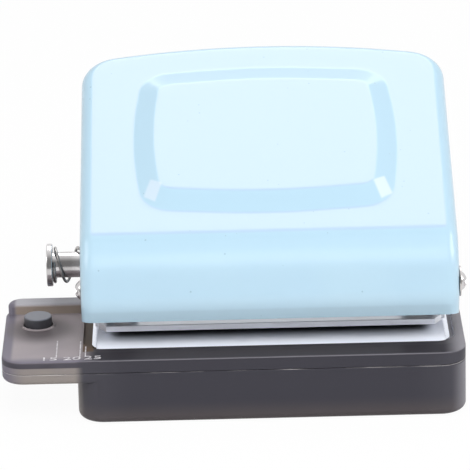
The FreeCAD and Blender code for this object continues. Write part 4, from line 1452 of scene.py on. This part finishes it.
@dataclass
class Base(SubAssembly):
    """Smoked tray and cover, with printed ticks on the wing, the hinge pins and the feet."""

    deck_z: float = 18.2
    rim_rise: float = 0.3
    rim_left: float = -52.0
    rim_run_end: float = 1.4
    rim_front: float = -43.0
    rim_run: float = 5.4
    tick_width: float = 0.3
    tick_steps: int = 12
    ink_depth: float = 0.05
    ticks: tuple[Point, ...] = ((-57.4, -40.1, -27.5), (-51.1, -40.3, -28.6), (-49.65, -39.9, -32.9))
    marks: tuple[tuple[str, float], ...] = (("15", -59.4), ("20", -53.2), ("25", -47.6))
    mark_y: float = -41.7
    mark_size: float = 3.08
    mark_stretch: float = 1.6
    mark_steps: int = 6

    def surface(self, x: float, y: float) -> float:
        """Gives the height of the deck or of the rim's slope.

        Args:
            x: Distance across.
            y: Distance back.

        Returns:
            The height in millimetres.
        """
        over_end = (x - self.rim_left) / self.rim_run_end
        over_front = (y - self.rim_front) / self.rim_run
        return self.deck_z + self.rim_rise * max(0.0, min(1.0, over_end, over_front))

    def build_ticks(self, finishes: Finishes) -> Piece:
        """Builds the printed ticks as thin raised strips that follow the moulding.

        Args:
            finishes: Finishes of the punch.

        Returns:
            The ticks.
        """
        work = MeshWork()
        half, deep = self.tick_width / 2, self.ink_depth
        section = ((-half, -deep), (half, -deep), (half, deep), (-half, deep))
        for x, front, rear in self.ticks:
            rows = []
            for step in range(self.tick_steps + 1):
                y = front + (rear - front) * step / self.tick_steps
                rows.append(work.row([(x + side, y, self.surface(x + side, y) + lift) for side, lift in section]))
            work.tube(rows)
        piece = work.build("wing_ticks")
        put(piece, finishes.ink)
        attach(piece, Body.UPPER.value)
        return piece

    def build_mark(self, text: str, x: float, finishes: Finishes) -> Piece:
        """Builds one plain numeral beside a tick, laid on the moulding.

        Args:
            text: Number to print.
            x: Middle of the number.
            finishes: Finishes of the punch.

        Returns:
            The numeral.
        """
        curve = bpy.data.curves.new("numeral", "FONT")
        curve.body = text
        curve.size = self.mark_size * MM
        curve.align_x = "CENTER"
        curve.extrude = self.ink_depth * MM
        curve.resolution_u = self.mark_steps
        lettered = add_object("numeral", curve)
        mesh = final_mesh(lettered)
        bpy.data.objects.remove(lettered)
        for point in mesh.vertices:
            point.co.x = point.co.x * self.mark_stretch + x * MM
            point.co.y += self.mark_y * MM
            point.co.z += self.surface(point.co.x / MM, point.co.y / MM) * MM
        piece = add_object(f"wing_numeral_{text}", mesh)
        put(piece, finishes.ink)
        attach(piece, Body.UPPER.value)
        return piece

    def build(self, finishes: Finishes) -> list[Piece]:
        """Builds the printing: ticks and numerals."""
        return [self.build_ticks(finishes)] + [self.build_mark(text, x, finishes) for text, x in self.marks]

    def nodes(self, finishes: Finishes) -> Dressing:
        """Gives the finish and rounding of the mouldings, feet and hinge pins."""
        return {"chip_tray": (finishes.smoke, 0.15), "base_cover": (finishes.smoke, 0.15),
                "feet": (finishes.rubber, 0.2), "hinge_pins": (finishes.bright, 0.1)}


@dataclass
class TrayButton(SubAssembly):
    """Black push button on the wing, with its spring and clip."""

    x: float = -63.0
    y: float = -15.0
    floor_z: float = 16.4
    cap_z: float = 20.0
    radius: float = 2.5
    wire: float = 0.25
    turns: float = 3.5
    travel: float = 1.2

    def build(self, finishes: Finishes) -> list[Piece]:
        """Builds the small coil under the cap."""
        return [Coil("button_coil", Body.UPPER, "button_spring", "button_press", self.travel,
                     (0.0, 0.0, self.floor_z * MM), Axis.Z, (self.x, self.y, self.floor_z), self.radius, self.wire,
                     self.cap_z - self.floor_z, self.turns).fit(finishes)]

    def nodes(self, finishes: Finishes) -> Dressing:
        """Gives the finish and rounding of the cap and the clip."""
        return {"tray_button": (finishes.knob, 0.1), "button_clip": (finishes.spring, 0.04)}


# ---------------------------------------------------------------- studio


@dataclass
class Studio:
    """Pale floor, soft lamps and the camera."""

    azimuth: float = -0.241
    elevation: float = 19.598
    roll: float = 1.311
    distance: float = 1096.74
    target: Point = (-8.90, -10.0, 41.05)
    focal: float = 4039.3
    picture: int = 470
    film: float = 36.0
    clip: Flat = (0.05, 20.0)
    ambient: float = 0.26
    front_room: float = 0.27
    front: Flat = (-0.75, 0.12)
    floor_half: float = 1500.0
    floor_steps: int = 12
    floor_z: float = -0.05
    floor_tone: Colour = (0.76, 0.76, 0.76, 1.0)
    floor_glow: float = 0.95
    lamp_target: Point = (0.0, 0.0, 0.03)

    def place_camera(self) -> None:
        """Places the camera and makes it the scene's own."""
        a, e, r = (math.radians(v) for v in (self.azimuth, self.elevation, self.roll))
        back = Vector((math.sin(a) * math.cos(e), -math.cos(a) * math.cos(e), math.sin(e)))
        right = Vector((math.cos(a), math.sin(a), 0.0))
        up = back.cross(right)
        across = right * math.cos(r) - up * math.sin(r)
        rise = up * math.cos(r) + right * math.sin(r)
        turn = Matrix((across, rise, back)).transposed().to_4x4()
        data = bpy.data.cameras.new("front_camera")
        data.sensor_width = self.film
        data.lens = self.focal * self.film / self.picture
        data.clip_start, data.clip_end = self.clip
        camera = add_object("front_camera", data)
        camera.matrix_world = Matrix.Translation((Vector(self.target) + back * self.distance) * MM) @ turn
        bpy.context.scene.camera = camera

    def hang(self, name: str, place: Point, size: float, power: float, mirrored: bool = True) -> None:
        """Hangs one soft lamp that faces the punch.

        Args:
            name: Name of the lamp.
            place: Its place in metres.
            size: Its width in metres.
            power: Its power in watts.
            mirrored: Whether glossy surfaces mirror it.
        """
        data = bpy.data.lights.new(name, "AREA")
        data.size = size
        data.energy = power
        lamp = add_object(name, data)
        lamp.visible_glossy = mirrored
        lamp.location = place
        lamp.rotation_euler = (Vector(place) - Vector(self.lamp_target)).to_track_quat("Z", "Y").to_euler()

    def build_floor(self) -> None:
        """Builds the pale floor, which keeps a faint shadow."""
        work = MeshWork()
        places = [self.floor_half * (2 * i / self.floor_steps - 1) for i in range(self.floor_steps + 1)]
        work.skin([work.row([(x, y, self.floor_z) for x in places]) for y in places])
        floor = work.build("floor")
        material = bpy.data.materials.new("pale_floor")
        material.use_nodes = True
        bench = Bench(material.node_tree)
        bench.tree.nodes.clear()
        path = bench.node("LightPath").outputs
        mirrored = bench.math("MAXIMUM", path["Is Glossy Ray"], path["Is Transmission Ray"])
        seen = bench.math("MAXIMUM", path["Is Camera Ray"], mirrored)
        matt = bench.node("BsdfDiffuse", {"Color": self.floor_tone})
        glow = bench.node("Emission", {"Color": WHITE, "Strength": 1.0})
        both = bench.node("MixShader", {0: bench.times(seen, self.floor_glow), 1: matt.outputs[0],
                                        2: glow.outputs[0]})
        bench.node("OutputMaterial", {"Surface": both.outputs[0]})
        put(floor, material)

    def build_world(self) -> None:
        """Fills the room with even light, darker in reflections from the front, and shows white behind the punch."""
        world = bpy.data.worlds.new("studio")
        world.use_nodes = True
        bench = Bench(world.node_tree)
        bench.tree.nodes.clear()
        path = bench.node("LightPath").outputs
        seen = bench.math("MAXIMUM", path["Is Camera Ray"], path["Is Transmission Ray"])
        ahead = bench.axes(bench.coordinate("Generated"))[1]
        room = bench.between(bench.ramp(ahead, *self.front), self.front_room, 1.0)
        soft = bench.between(path["Is Glossy Ray"], self.ambient, room)
        sky = bench.node("Background", {"Color": WHITE, "Strength": bench.between(seen, soft, 1.0)})
        bench.node("OutputWorld", {"Surface": sky.outputs[0]})
        bpy.context.scene.world = world

    def build(self) -> None:
        """Sets up the whole studio."""
        bpy.context.scene.view_settings.view_transform = "Standard"
        self.build_floor()
        self.build_world()
        self.hang("rear_softbox", (0.03, 0.60, 0.87), 0.58, 3.1)
        self.hang("key_softbox", (0.05, -0.86, 0.93), 0.65, 12.6, mirrored=False)
        self.hang("side_softbox_left", (-0.95, -0.3, 0.65), 0.6, 3.4)
        self.hang("side_softbox_right", (0.95, -0.3, 0.65), 0.6, 5.5)
        self.place_camera()


def main() -> None:
    """Builds the punch's parts in order."""
    logging.basicConfig(level=logging.INFO, format="%(message)s")
    Studio().build()
    finishes = Finishes.build()
    for part in (Base(), PunchWorks(), Pivot(), LockPin(), TrayButton(), Lever()):
        for piece in part.dress(finishes):
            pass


if __name__ == "__main__":
    main()
